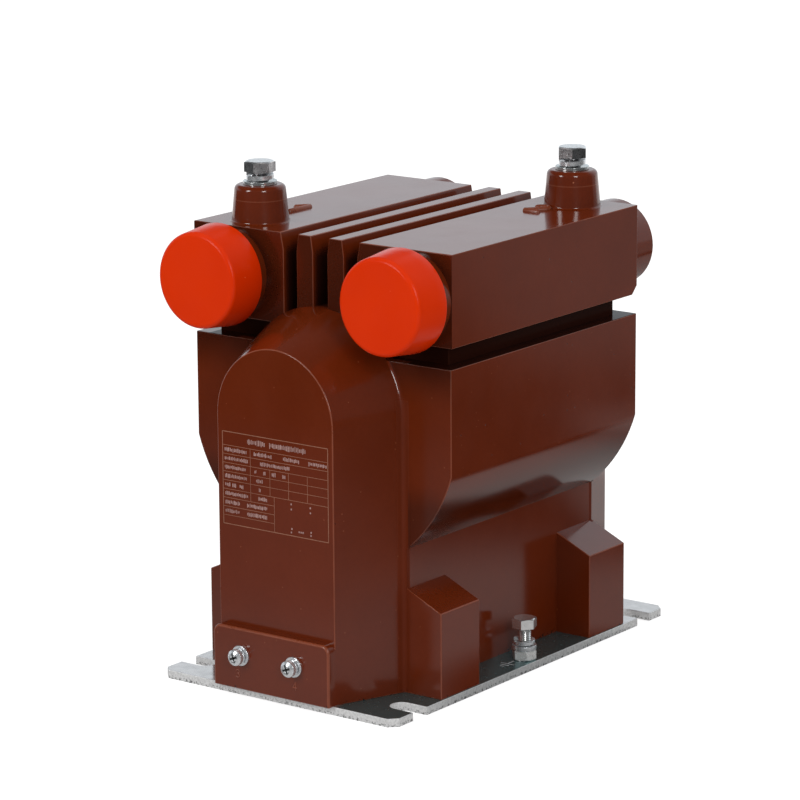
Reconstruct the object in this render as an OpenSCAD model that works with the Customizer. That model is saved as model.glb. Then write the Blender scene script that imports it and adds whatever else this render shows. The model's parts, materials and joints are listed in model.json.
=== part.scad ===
// Indoor cast-resin voltage transformer with two fused high-voltage terminals.
// Millimetres. +Z is up, the nameplate arch faces -Y, and the origin is the
// middle of the underside of the steel base plate.

/* [Base plate] */
// Width of the base plate, left to right
plate_w = 170; // [166:0.5:176]
// Reach of the base plate beyond the arches' faces
plate_lip = 2.25; // [1:0.25:10]
// Thickness of the base plate
plate_t = 5; // [4:0.5:8]
// Leg of the chamfer on each corner of the base plate
plate_chamfer = 5; // [2:0.5:8]
// Width of the four open fixing slots
slot_w = 13; // [11:0.5:15]
// Depth of a fixing slot from the plate's edge to its round end
slot_depth = 19.5; // [15:0.5:22]
// Distance of a fixing slot's middle from the plate's end
slot_inset = 24.5; // [21:0.5:28]

/* [Lower block and feet] */
// Width of the lower block between the feet
block_w = 121; // [118:0.5:124]
// Length of the cast body, front to back
body_l = 188.5; // [186:0.5:192]
// Length of a foot along the body
foot_l = 37.5; // [34:0.5:42]
// Height of a foot's outer face above the plate
foot_h = 51; // [44:1:58]
// Rise of a foot's sloping shoulder
foot_rise = 11; // [6:0.5:16]
// Set-back of a foot's outer face from the plate's edge
foot_inset = 0.5; // [0.2:0.1:1.5]

/* [Barrel] */
// Height of the barrel's axis above the plate
axis_h = 160.5; // [158:0.5:164]
// Radius of the rounded lower corners about the barrel's axis
barrel_r = 96.3; // [94:0.1:100]
// Width across the barrel's flat sides
barrel_w = 184; // [178:0.5:187]
// Height of the barrel's flat top above its axis
barrel_over = 33.5; // [32:0.5:38]

/* [Neck] */
// Height of the groove between the barrel and the fuse boxes
neck_h = 12; // [8:0.5:16]
// Depth of the groove at the sides
neck_inset_x = 9.5; // [6:0.5:14]
// Depth of the groove at the front and back
neck_inset_y = 11; // [6:0.5:14]

/* [Fuse boxes] */
// Width of a fuse box across its top
box_w = 64; // [62:0.5:67]
// Height of a fuse box
box_h = 53.6; // [52:0.2:58]
// Set-back of a fuse box's ends from the ends of the body
box_inset = 0.25; // [0.25:0.25:2]
// Gap between the two fuse boxes at the top
box_gap = 57; // [55:0.5:62]
// Height of the drafted lip along a box's inner top edge
draft_h = 10; // [8:0.1:16]
// Width that the lip's draft takes off
draft_w = 2; // [1:0.1:3]
// Leg of the chamfer under a box's rear end
box_chamfer = 5; // [2:0.5:8]

/* [Fins] */
// Distance between the middles of the two barrier fins
fin_pitch = 22.2; // [20:0.2:24]
// Width of a fin across its top
fin_top_w = 8.9; // [7:0.1:10]
// Width of a fin below its drafted top
fin_w = 11.8; // [10:0.1:12.5]

/* [Front and back arches] */
// Width of an arch at its outer face
arch_w = 83; // [78:0.5:88]
// Width of an arch where it meets the body
arch_root_w = 117; // [108:0.5:120]
// Reach of an arch beyond the body
arch_out = 43.5; // [40:0.5:45]
// Radius of the fillet where an arch meets the body
arch_fillet = 2.8; // [1:0.1:3]

/* [Secondary terminals] */
// Width of the raised terminal pad
pad_w = 84; // [70:0.5:88]
// Height of the terminal pad above the plate
pad_h = 36.5; // [32:0.5:44]
// Reach of the terminal pad beyond the front arch
pad_out = 6.5; // [4:0.5:8]
// Radius of the pad's two upper corners
pad_corner = 5; // [2:0.5:10]
// Distance between the two secondary screws
lv_pitch = 38.6; // [30:0.2:44]
// Sideways offset of the pair of screws
lv_offset = -2.5; // [-4:0.5:4]
// Height of the secondary screws above the plate
lv_h = 20.3; // [18:0.1:24]
// Thread diameter of a secondary screw
lv_d = 5; // [4:0.5:6]
// Diameter of a secondary screw's pan head
lv_head_d = 9.5; // [8.5:0.1:11]
// Height of a secondary screw's pan head
lv_head_h = 3.7; // [3:0.1:4.5]
// Depth to which a secondary screw enters its insert
lv_grip = 9; // [7:0.5:12]
// Outer diameter of a secondary flat washer
lv_washer_d = 12; // [11:0.2:14]
// Thickness of a secondary flat washer
lv_washer_t = 1; // [0.8:0.1:1.5]
// Outer diameter of a secondary terminal's brass insert
lv_insert_d = 11; // [9:0.5:11.5]
// Resin between a secondary terminal's insert and the core
lv_cover = 1.25; // [1:0.25:3]

/* [Primary terminal posts] */
// Distance of each post from the nearer end of its box
post_inset = 22; // [19:0.5:30]
// Height of a post above its box
post_h = 21.7; // [18:0.1:28]
// Diameter of a post at its foot
post_d = 33.8; // [30:0.1:38]
// Diameter of a post at its top, before its rounded shoulder
post_top_d = 29.6; // [27:0.2:31]
// Radius of a post's shoulder
post_fillet = 3; // [1:0.1:4]
// Radius of the fillet at a post's foot
post_foot_fillet = 1.2; // [0.5:0.1:2]
// Diameter of the brass insert cast into a post
insert_d = 18; // [16:0.5:20]
// Depth of the threaded hole in a post's insert
insert_depth = 22; // [20:0.5:25]

/* [Primary terminal bolts] */
// Thread diameter of a terminal bolt
bolt_d = 10; // [8:0.5:10]
// Width across the flats of a terminal bolt's head
bolt_af = 16; // [15:0.5:17]
// Height of a terminal bolt's head
bolt_head_h = 6.4; // [5:0.1:8]
// Length of a terminal bolt's shank
bolt_l = 25; // [20:0.5:27]
// Outer diameter of a terminal flat washer
washer_d = 20; // [18:0.5:23]
// Thickness of a terminal flat washer
washer_t = 2; // [1.5:0.1:3]
// Outer diameter of a terminal spring washer
spring_washer_d = 16.2; // [15.5:0.1:18]
// Thickness of a terminal spring washer's wire
spring_washer_t = 2.6; // [2:0.1:3]

/* [Fuse holders] */
// Distance of a fuse's axis from its box's outer face
fuse_edge = 27; // [26:0.1:29]
// Height of a fuse's axis above its box's underside
fuse_h = 26; // [26:0.1:27]
// Diameter of the collar behind a fuse cap
collar_d = 53.6; // [52:0.2:55]
// Length of the collar behind a fuse cap
collar_l = 8.9; // [6:0.1:12]
// Diameter of the screwed neck inside a fuse cap
spout_d = 49; // [44:0.5:50]
// Reach of the screwed neck beyond its box
spout_l = 26; // [24:0.5:27]
// Diameter of the round boss at a box's rear end
boss_d = 51.8; // [48:0.2:51.8]
// Resin left behind the rear end of a fuse's bore
boss_wall = 8; // [5:0.5:9]

/* [Fuse caps] */
// Diameter of a cap at its open rim
cap_rim_d = 60.8; // [59.5:0.1:64]
// Diameter of a cap at its closed end, before its rounded edge
cap_front_d = 56; // [54:0.1:59]
// Length of a cap
cap_l = 23.3; // [22:0.1:28]
// Radius of a cap's rounded front edge
cap_edge = 3; // [1:0.1:4]
// Thickness of a cap's end wall
cap_wall = 4; // [3:0.1:5]

/* [Fuses] */
// Diameter of a fuse's ceramic barrel
fuse_d = 25; // [23:0.5:26]
// Length of a fuse over its ferrules
fuse_l = 195; // [190:1:200]
// Length of a fuse's ferrule
ferrule_l = 20; // [15:0.5:24]
// Wall of a fuse's ferrule
ferrule_t = 1; // [0.6:0.1:1.5]
// Wall of the brass contacts that hold a fuse's ends
contact_t = 1.8; // [1.2:0.1:2.4]
// Thickness of the closed end of the rear contact
cup_base = 6; // [4:0.5:8]
// Reach of the rear contact beyond the terminal's insert
contact_lap = 1; // [0.5:0.5:4]
// Length of the brass sleeve at a bore's front end
sleeve_l = 32; // [30:0.5:36]
// Set-back of the brass sleeve from its box's front
sleeve_inset = 8; // [6:0.5:10]
// Thickness of the brass plug's flange inside a cap
plug_flange_t = 4; // [3:0.5:6]
// Length of the pin on the plug that centres the spring
plug_pin_l = 5; // [3:0.5:8]
// Length of a contact spring between its plug and the fuse
contact_spring_l = 22.2; // [18:0.1:26]
// Diameter of the wire of a contact spring
spring_wire_d = 1.6; // [1:0.1:2]
// Mean diameter of a contact spring
spring_d = 15; // [13:0.5:18]
// Turns of a contact spring
spring_turns = 5; // [3:1:7]

/* [Earth terminal] */
// Distance of the earth bolt from the plate's edge
earth_edge = 8.5; // [8:0.5:12]
// Thread diameter of the earth bolt
earth_d = 8; // [6:0.5:8]
// Width across the flats of the earth bolt and nut
earth_af = 13; // [12:0.5:14]
// Height of the earth nut
earth_nut_h = 6; // [5:0.1:8]
// Height of the earth bolt's head
earth_head_h = 6; // [4.5:0.1:7]
// Outer diameter of the earth terminal's flat washers
earth_washer_d = 14.4; // [13.5:0.1:16]
// Thickness of an earth flat washer
earth_washer_t = 1.4; // [1:0.1:2]
// Bare shank left between the earth washers and the bolt's head
earth_gap = 6.4; // [3:0.1:9]

/* [Base fixings] */
// Distance of a base screw from the foot's outer face
base_screw_x = 14; // [11:0.5:16]
// Distance of a base screw from the body's end
base_screw_y = 18; // [12:0.5:22]
// Thread diameter of a base screw
base_screw_d = 8; // [6:0.5:8]
// Length of a base screw under the plate's top
base_screw_l = 16; // [12:0.5:18]
// Outer diameter of a base screw's brass insert
base_insert_d = 14; // [13:0.5:16]
// Length of a base screw's brass insert
base_insert_l = 20; // [19:0.5:24]

/* [Core and windings] */
// Height of the windings' axis above the plate
coil_h = 143; // [141:0.5:145]
// Width of the core's strip, left to right
core_w = 68; // [60:1:70]
// Thickness of the core's limbs
core_t = 28; // [24:0.5:30]
// Resin between the core's end limbs and the arches' faces
core_cover = 10.75; // [10:0.25:14]
// Resin between the core and the base plate
core_floor = 5; // [3:0.5:8]
// Resin between a winding's end and the core's end limb
coil_gap = 11; // [10:0.5:16]
// Resin between the core and the secondary winding
secondary_gap = 2.5; // [2:0.1:4]
// Build of the secondary winding
secondary_t = 6; // [4:0.5:7]
// Resin between the secondary and the primary winding
primary_gap = 5; // [4:0.5:6]
// Build of the primary winding
primary_t = 16; // [12:0.5:17]

/* [Leads] */
// Diameter of the rod from a fuse contact to the primary winding
primary_lead_d = 4; // [3:0.5:5]
// Distance of that rod from the winding's end
primary_lead_inset = 12; // [8:0.5:16]
// Width of the copper strip from the secondary winding to its terminal
secondary_lead_w = 6; // [4:0.5:7]
// Thickness of that strip
secondary_lead_t = 1.5; // [1:0.25:2]
// Distance of the strip's upright run in front of the windings
secondary_lead_out = 3; // [2:0.5:4]
// Resin between the strip and the pad's face
secondary_lead_cover = 6; // [4:0.5:8]
// Width of the copper strap from the core to the base plate
strap_w = 20; // [12:1:30]
// Thickness of that strap
strap_t = 2; // [1:0.25:3]

/* [Clearances] */
// Clearance all round a shank in its hole or thread
shank_fit = 0.1; // [0.05:0.05:0.2]
// Clearance all round a shank in a washer
washer_fit = 0.3; // [0.2:0.05:0.5]
// Clearance between a cap and the neck that it screws on
cap_fit = 0.3; // [0.2:0.05:0.5]
// Clearance all round a ferrule in its contact
ferrule_fit = 0.2; // [0.1:0.05:0.4]
// Clearance of the plug's flange in the bore and of its pin in the spring
plug_fit = 1; // [0.5:0.1:1.5]

/* [Hidden] */
$fn = 96;
EPS = 0.01;
LEFT = -1;
RIGHT = 1;
FRONT = -1;
BACK = 1;

resin_c = [0.36, 0.13, 0.08];
cap_c = [0.86, 0.20, 0.04];
zinc_c = [0.72, 0.73, 0.74];
plate_c = [0.62, 0.63, 0.64];
brass_c = [0.78, 0.62, 0.28];
ceramic_c = [0.93, 0.92, 0.88];
copper_c = [0.72, 0.42, 0.24];
steel_c = [0.42, 0.43, 0.45];
rubber_c = [0.08, 0.08, 0.08];

// Levels, from the plate's underside upwards
axis_z = plate_t + axis_h;
barrel_top = axis_z + barrel_over;
box_z = barrel_top + neck_h;
box_top = box_z + box_h;
fuse_z = box_z + fuse_h;
post_top = box_top + post_h;
coil_z = plate_t + coil_h;
lv_z = plate_t + lv_h;
// Where the barrel's flat side breaks into its round corner
side_break_z = axis_z - sqrt(barrel_r * barrel_r - barrel_w * barrel_w / 4);

// Distances from the middle
foot_x = plate_w / 2 - foot_inset;
box_l = body_l - 2 * box_inset;
post_y = box_l / 2 - post_inset;
box_x = box_gap / 2 + box_w;
box_mid = box_gap / 2 + box_w / 2;
fuse_x = box_x - fuse_edge;
arch_face = body_l / 2 + arch_out;
pad_face = arch_face + pad_out;
plate_l = 2 * (arch_face + plate_lip);
earth_x = plate_w / 2 - earth_edge;
base_x = foot_x - base_screw_x;
base_y = body_l / 2 - base_screw_y;
slot_end = plate_w / 2 - slot_depth + slot_w / 2;
slot_y = plate_l / 2 - slot_inset;

// The fuse and its contacts, along the bore from the cap to the rear boss
ferrule_r = fuse_d / 2 + ferrule_t;
bore_r = ferrule_r + ferrule_fit + contact_t;
cap_back = -box_l / 2 - collar_l;
cap_face = cap_back - cap_l;
cap_inside = cap_face + cap_wall;
spout_end = -box_l / 2 - spout_l;
plug_front = cap_inside + plug_flange_t;
fuse_front = plug_front + contact_spring_l;
fuse_back = fuse_front + fuse_l;
bore_end = fuse_back + cup_base;
boss_end = bore_end + boss_wall;
sleeve_front = -box_l / 2 + sleeve_inset;
cup_front = post_y - insert_d / 2 - contact_lap;

// Stacks on the terminals
bolt_seat = post_top + washer_t + 2 * spring_washer_t;
lv_spring_t = 1.3;
lv_spring_d = 9;
lv_seat = pad_face + lv_washer_t + 2 * lv_spring_t;
earth_spring_t = 2.1;
earth_spring_d = 12.6;
earth_washer_z = plate_t + earth_nut_h;
earth_spring_z = earth_washer_z + 2 * earth_washer_t;
earth_seat = earth_spring_z + 2 * earth_spring_t + earth_gap;

// The core's window, the windings and their leads
core_end = arch_face - core_cover;
core_bottom = plate_t + core_floor;
window_l = 2 * (core_end - core_t);
window_z = core_bottom + core_t;
window_h = coil_z - core_t / 2 - window_z;
coil_l = window_l - 2 * coil_gap;
secondary_in_w = core_w / 2 + secondary_gap;
secondary_in_h = core_t / 2 + secondary_gap;
primary_in_w = secondary_in_w + secondary_t + primary_gap;
primary_in_h = secondary_in_h + secondary_t + primary_gap;
coil_corner = 8;
primary_lead_x = primary_in_w + 0.75 * primary_t;
primary_lead_y = coil_l / 2 - primary_lead_inset;
secondary_lead_x = secondary_in_w + secondary_t / 3;
lv_insert_l = pad_out + core_cover - lv_cover;

// How far each hexagon is turned about its axis
bolt_turn_a = -16;
bolt_turn_b = 4;
earth_head_turn = -10;
earth_nut_turn = 16;

// Small general shapes

module along_y(length) {
  rotate([90, 0, 0]) linear_extrude(length, center = true) children();
}

module rod_y(r, y0, y1) {
  translate([0, y1, 0]) rotate([90, 0, 0]) cylinder(r = r, h = y1 - y0);
}

module at_fuse(side) {
  translate([side * fuse_x, 0, fuse_z]) children();
}

module ring(r_out, r_in, h) {
  difference() {
    cylinder(r = r_out, h = h);
    translate([0, 0, -EPS]) cylinder(r = r_in, h = h + 2 * EPS);
  }
}

// A hexagon with its corners turned off at the top, and at the bottom for a nut
module hexagon(af, h, turn, both = false) {
  corner_r = af / sqrt(3);
  turned = 0.475 * af;
  clear_r = 1.05 * corner_r;
  drop = (clear_r - turned) * tan(30);
  foot_r = both ? turned : clear_r;
  foot_z = both ? drop : h / 4;
  intersection() {
    rotate([0, 0, turn]) cylinder(r = corner_r, h = h, $fn = 6);
    rotate_extrude()
      polygon([[0, 0], [foot_r, 0], [clear_r, foot_z], [clear_r, h - drop], [turned, h], [0, h]]);
  }
}

// A split spring washer: a square wire wound through nearly one turn
module spring_washer(r_out, r_in, t) {
  steps = 40;
  open_angle = 16;
  sweep = 360 - open_angle;
  corners = [[r_in, 0], [r_out, 0], [r_out, t], [r_in, t]];
  points = [for (i = [0:steps]) for (c = corners)
    let (a = i * sweep / steps)
    [c[0] * cos(a), c[0] * sin(a), c[1] + t * i / steps]];
  sides = [for (i = [0:steps - 1]) for (k = [0:3])
    let (p = 4 * i + k, q = 4 * i + (k + 1) % 4)
    each [[p, p + 4, q], [q, p + 4, q + 4]]];
  ends = [[0, 1, 2, 3], [4 * steps + 3, 4 * steps + 2, 4 * steps + 1, 4 * steps]];
  polyhedron(points, concat(sides, ends), convexity = 4);
}

// A coil spring along +Z, swept round by round
module coil_spring(mean_r, wire_r, length, turns) {
  per_turn = 16;
  around = 8;
  steps = per_turn * turns;
  climb = (length - 2 * wire_r) / steps;
  points = [for (i = [0:steps]) for (k = [0:around - 1])
    let (a = 360 * i / per_turn, b = 360 * k / around, r = mean_r + wire_r * cos(b))
    [r * cos(a), r * sin(a), wire_r + climb * i + wire_r * sin(b)]];
  sides = [for (i = [0:steps - 1]) for (k = [0:around - 1])
    let (p = around * i + k, q = around * i + (k + 1) % around)
    each [[p, p + around, q], [q, p + around, q + around]]];
  first = [for (k = [0:around - 1]) k];
  last = [for (k = [around - 1:-1:0]) around * steps + k];
  polyhedron(points, concat(sides, [first, last]), convexity = 8);
}

// An oval winding section: a rectangle with round corners
module oval(half_w, half_h, corner) {
  for (sx = [-1, 1]) for (sz = [-1, 1])
    translate([sx * (half_w - corner), sz * (half_h - corner)]) circle(r = corner);
  square([2 * half_w, 2 * (half_h - corner)], center = true);
  square([2 * (half_w - corner), 2 * half_h], center = true);
}

// The cast body

// A round tank with flat sides and a flat top, on the lower block
module barrel_outline() {
  intersection() {
    translate([-barrel_w / 2, axis_z - barrel_r]) square([barrel_w, barrel_r + barrel_over]);
    union() {
      translate([0, axis_z]) circle(r = barrel_r);
      translate([-barrel_w, axis_z]) square([2 * barrel_w, 2 * barrel_over]);
    }
  }
  translate([-block_w / 2, plate_t]) square([block_w, axis_h]);
}

module foot(side, end) {
  low = plate_t + foot_h;
  root = block_w / 2;
  translate([0, end * (body_l / 2 - foot_l / 2), 0]) along_y(foot_l)
    polygon([[0, plate_t], [side * foot_x, plate_t], [side * foot_x, low],
      [side * root, low + foot_rise], [0, low + foot_rise]]);
}

// The hollow between a flat face and a side that leans back from it by an angle.
// X is the distance from the side's middle, and Y the distance from the face.
module root_fillet(side_x, lean, r) {
  middle_x = side_x + r * (1 - sin(lean)) / cos(lean);
  reach = r * (1 - sin(lean));
  difference() {
    polygon([[side_x - r, -r], [middle_x, -r], [middle_x, 0],
      [middle_x - r * cos(lean), reach], [side_x - reach * tan(lean) - r, reach]]);
    translate([middle_x, r]) circle(r = r);
  }
}

// An arch with drafted sides: a round head on a straight-sided pillar
module arch(end) {
  root = body_l / 2;
  front_r = arch_w / 2;
  root_r = arch_root_w / 2;
  lean = atan((root_r - front_r) / arch_out);
  fillet = min(arch_fillet, (block_w / 2 - root_r) * cos(lean) / (1 - sin(lean)));
  mirror([0, end == BACK ? 1 : 0, 0]) {
    intersection() {
      translate([0, -root, axis_z]) rotate([90, 0, 0])
        rotate_extrude() root_fillet(root_r, lean, fillet);
      translate([-root_r - fillet, -root - fillet, axis_z - root_r - fillet])
        cube([2 * (root_r + fillet), 3 * fillet, root_r + fillet + barrel_over]);
    }
    for (side = [0, 1]) mirror([side, 0, 0])
      translate([0, -root, plate_t]) linear_extrude(axis_h)
        mirror([0, 1]) root_fillet(root_r, lean, fillet);
    translate([0, -root, axis_z]) rotate([90, 0, 0])
      cylinder(r1 = root_r, r2 = front_r, h = arch_out);
    translate([0, 0, plate_t]) linear_extrude(axis_h)
      polygon([[-root_r, -root + foot_l / 2], [-root_r, -root], [-front_r, -arch_face],
        [front_r, -arch_face], [root_r, -root], [root_r, -root + foot_l / 2]]);
  }
}

module pad() {
  half = pad_w / 2;
  top = plate_t + pad_h;
  translate([0, -pad_face + pad_out, 0]) rotate([90, 0, 0])
    translate([0, 0, -pad_out]) linear_extrude(2 * pad_out) {
      translate([-half, plate_t]) square([pad_w, pad_h - pad_corner]);
      translate([-half + pad_corner, plate_t]) square([pad_w - 2 * pad_corner, pad_h]);
      for (sx = [-1, 1])
        translate([sx * (half - pad_corner), top - pad_corner]) circle(r = pad_corner);
    }
}

module fuse_box(side) {
  inner = box_gap / 2;
  intersection() {
    along_y(box_l)
      polygon([[side * box_x, box_z], [side * box_x, box_top], [side * inner, box_top],
        [side * (inner - draft_w), box_top - draft_h], [side * (inner - draft_w), box_z]]);
    rotate([90, 0, 90]) translate([0, 0, -box_x]) linear_extrude(2 * box_x)
      polygon([[-box_l / 2, box_z], [box_l / 2 - box_chamfer, box_z],
        [box_l / 2, box_z + box_chamfer], [box_l / 2, box_top], [-box_l / 2, box_top]]);
  }
}

module fin(side) {
  mid = side * fin_pitch / 2;
  along_y(box_l)
    polygon([[mid - fin_w / 2, box_z - neck_h / 2], [mid + fin_w / 2, box_z - neck_h / 2],
      [mid + fin_w / 2, box_top - draft_h], [mid + fin_top_w / 2, box_top],
      [mid - fin_top_w / 2, box_top], [mid - fin_w / 2, box_top - draft_h]]);
}

// A tapered post with a round shoulder and a fillet at its foot
module post_shape() {
  lean = atan((post_d - post_top_d) / 2 / post_h);
  mid_z = post_h - post_fillet;
  mid_r = post_d / 2 - mid_z * tan(lean) - post_fillet / cos(lean);
  rotate_extrude() {
    polygon([[0, -1], [post_d / 2, -1], [post_d / 2, 0],
      [mid_r + post_fillet * cos(lean), mid_z + post_fillet * sin(lean)],
      [mid_r, mid_z], [mid_r, post_h], [0, post_h]]);
    translate([mid_r, mid_z]) circle(r = post_fillet);
    root_fillet(post_d / 2, lean, post_foot_fillet);
  }
}

module at_post(side) {
  translate([side * box_mid, side * post_y, box_top]) children();
}

module resin_solid() {
  along_y(body_l) barrel_outline();
  for (side = [LEFT, RIGHT]) for (end = [FRONT, BACK]) foot(side, end);
  for (end = [FRONT, BACK]) arch(end);
  // The round back of the coil runs on under the fins
  translate([0, 0, axis_z]) rod_y(arch_root_w / 2, -body_l / 2, body_l / 2);
  pad();
  translate([0, 0, barrel_top - neck_h / 2])
    linear_extrude(1.5 * neck_h + EPS)
      square([barrel_w - 2 * neck_inset_x, body_l - 2 * neck_inset_y], center = true);
  for (side = [LEFT, RIGHT]) {
    fuse_box(side);
    fin(side);
    at_post(side) post_shape();
    at_fuse(side) {
      rod_y(collar_d / 2, cap_back, -box_l / 2);
      rod_y(spout_d / 2, spout_end, 0);
      rod_y(boss_d / 2, 0, boss_end);
    }
  }
}

module resin_body() {
  color(resin_c) difference() {
    resin_solid();
    for (side = [LEFT, RIGHT]) {
      at_fuse(side) rod_y(bore_r, spout_end - EPS, bore_end);
      at_post(side) translate([0, 0, fuse_z - box_top])
        cylinder(r = insert_d / 2, h = post_top - fuse_z + EPS);
      at_lv(side) rotate([90, 0, 0]) translate([0, 0, -lv_insert_l])
        cylinder(r = lv_insert_d / 2, h = lv_insert_l + EPS);
    }
    at_base_screws() translate([0, 0, -EPS])
      cylinder(r = base_insert_d / 2, h = base_insert_l + EPS);
    core_solid();
    strap_solid();
    winding_solid(secondary_in_w, secondary_in_h, secondary_t);
    winding_solid(primary_in_w, primary_in_h, primary_t);
    for (side = [LEFT, RIGHT]) {
      primary_rod(side);
      secondary_strip(side);
    }
  }
}

// The plate and what holds the body to it

module base_plate() {
  half_w = plate_w / 2;
  half_l = plate_l / 2;
  color(plate_c) difference() {
    linear_extrude(plate_t)
      polygon([for (q = [[1, 1, 0], [-1, 1, 1], [-1, -1, 0], [1, -1, 1]])
        each q[2] == 0
          ? [[q[0] * half_w, q[1] * (half_l - plate_chamfer)],
             [q[0] * (half_w - plate_chamfer), q[1] * half_l]]
          : [[q[0] * (half_w - plate_chamfer), q[1] * half_l],
             [q[0] * half_w, q[1] * (half_l - plate_chamfer)]]]);
    for (side = [LEFT, RIGHT]) for (end = [FRONT, BACK])
      translate([side * slot_end, end * slot_y, -EPS]) {
        cylinder(r = slot_w / 2, h = plate_t + 2 * EPS);
        translate([side * slot_depth / 2, 0, plate_t / 2 + EPS])
          cube([slot_depth, slot_w, plate_t + 2 * EPS], center = true);
      }
    at_base_screws() translate([0, 0, -plate_t]) countersink(shank_fit);
    translate([earth_x, 0, -EPS])
      cylinder(r = earth_d / 2 + shank_fit, h = plate_t + 2 * EPS);
  }
}

module at_base_screws() {
  for (side = [LEFT, RIGHT]) for (end = [FRONT, BACK])
    translate([side * base_x, end * base_y, plate_t]) children();
}

// A countersunk screw's place in the plate: a cone that the head seats on, and
// a hole that clears the shank
module countersink(clearance) {
  r = base_screw_d / 2 + clearance;
  depth = min(base_screw_d / 2, 0.8 * plate_t) - clearance;
  translate([0, 0, -EPS]) cylinder(r = r, h = plate_t + 2 * EPS);
  cylinder(r1 = r + depth, r2 = r, h = depth);
}

module base_screws() {
  color(zinc_c) at_base_screws() {
    translate([0, 0, -plate_t]) intersection() {
      countersink(0);
      cylinder(r = 2 * base_screw_d, h = plate_t);
    }
    cylinder(r = base_screw_d / 2, h = base_screw_l);
  }
}

module base_inserts() {
  color(brass_c) at_base_screws() difference() {
    cylinder(r = base_insert_d / 2, h = base_insert_l);
    translate([0, 0, -EPS])
      cylinder(r = base_screw_d / 2 + shank_fit, h = base_screw_l + 1 + EPS);
  }
}

// Fuse caps and what is inside them

module fuse_cap(side) {
  rim_r = cap_rim_d / 2;
  lean = atan((cap_rim_d - cap_front_d) / 2 / cap_l);
  mid_z = cap_l - cap_edge;
  mid_r = rim_r - mid_z * tan(lean) - cap_edge / cos(lean);
  color(cap_c) at_fuse(side) translate([0, cap_back, 0]) rotate([90, 0, 0])
    difference() {
      rotate_extrude() {
        polygon([[0, 0], [rim_r, 0],
          [mid_r + cap_edge * cos(lean), mid_z + cap_edge * sin(lean)],
          [mid_r, mid_z], [mid_r, cap_l], [0, cap_l]]);
        translate([mid_r, mid_z]) circle(r = cap_edge);
      }
      translate([0, 0, -EPS]) cylinder(r = spout_d / 2 + cap_fit, h = cap_l - cap_wall + EPS);
    }
}

module cap_gasket(side) {
  color(rubber_c) at_fuse(side) translate([0, spout_end, 0]) rotate([90, 0, 0])
    ring(spout_d / 2, bore_r + plug_fit, spout_end - cap_inside);
}

module contact_plug(side) {
  color(brass_c) at_fuse(side) {
    rod_y(bore_r - plug_fit, cap_inside, plug_front);
    rod_y((spring_d - spring_wire_d) / 2 - plug_fit, cap_inside, plug_front + plug_pin_l);
  }
}

module contact_spring(side) {
  color(steel_c) at_fuse(side) translate([0, fuse_front, 0]) rotate([90, 0, 0])
    coil_spring(spring_d / 2, spring_wire_d / 2, contact_spring_l, spring_turns);
}

module front_sleeve(side) {
  color(brass_c) at_fuse(side) difference() {
    rod_y(bore_r, sleeve_front, sleeve_front + sleeve_l);
    rod_y(bore_r - contact_t, sleeve_front - 1, sleeve_front + sleeve_l + 1);
  }
}

module rear_cup(side) {
  color(brass_c) at_fuse(side) difference() {
    rod_y(bore_r, cup_front, bore_end);
    rod_y(bore_r - contact_t, cup_front - 1, fuse_back);
  }
}

module fuse_barrel(side) {
  end_t = 2 * ferrule_t;
  color(ceramic_c) at_fuse(side) rod_y(fuse_d / 2, fuse_front + end_t, fuse_back - end_t);
}

module ferrule(side, end) {
  end_t = 2 * ferrule_t;
  color(zinc_c) at_fuse(side) difference() {
    if (end == FRONT) rod_y(ferrule_r, fuse_front, fuse_front + ferrule_l);
    else rod_y(ferrule_r, fuse_back - ferrule_l, fuse_back);
    rod_y(fuse_d / 2, fuse_front + end_t, fuse_back - end_t);
  }
}

// Primary terminals

module terminal_insert(side) {
  color(brass_c) at_post(side) difference() {
    translate([0, 0, fuse_z - box_top]) cylinder(r = insert_d / 2, h = post_top - fuse_z);
    translate([0, 0, post_h - insert_depth]) cylinder(r = bolt_d / 2 + shank_fit, h = insert_depth + 1);
    translate([side * (fuse_x - box_mid), 0, fuse_z - box_top])
      rod_y(bore_r, -insert_d, insert_d);
  }
}

module terminal_washer(side) {
  color(zinc_c) at_post(side) translate([0, 0, post_h])
    ring(washer_d / 2, bolt_d / 2 + washer_fit, washer_t);
}

module terminal_spring_washer(side) {
  color(zinc_c) at_post(side) translate([0, 0, post_h + washer_t])
    rotate([0, 0, side == LEFT ? -70 : 150])
      spring_washer(spring_washer_d / 2, bolt_d / 2 + washer_fit, spring_washer_t);
}

module terminal_bolt(side) {
  color(zinc_c) at_post(side) translate([0, 0, bolt_seat - box_top]) {
    hexagon(bolt_af, bolt_head_h, side == LEFT ? bolt_turn_a : bolt_turn_b);
    translate([0, 0, -bolt_l]) cylinder(r = bolt_d / 2, h = bolt_l + EPS);
  }
}

// Secondary terminals

function lv_x(side) = lv_offset + side * lv_pitch / 2;

module at_lv(side) {
  translate([lv_x(side), -pad_face, lv_z]) children();
}

module secondary_insert(side) {
  color(brass_c) at_lv(side) rotate([90, 0, 0]) translate([0, 0, -lv_insert_l]) difference() {
    cylinder(r = lv_insert_d / 2, h = lv_insert_l);
    translate([0, 0, lv_insert_l - lv_grip - 1])
      cylinder(r = lv_d / 2 + shank_fit, h = lv_grip + 2);
  }
}

module secondary_washer(side) {
  color(zinc_c) at_lv(side) rotate([90, 0, 0])
    ring(lv_washer_d / 2, lv_d / 2 + washer_fit, lv_washer_t);
}

module secondary_spring_washer(side) {
  color(zinc_c) at_lv(side) rotate([90, 0, 0]) translate([0, 0, lv_washer_t])
    rotate([0, 0, 200]) spring_washer(lv_spring_d / 2, lv_d / 2 + washer_fit, lv_spring_t);
}

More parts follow.
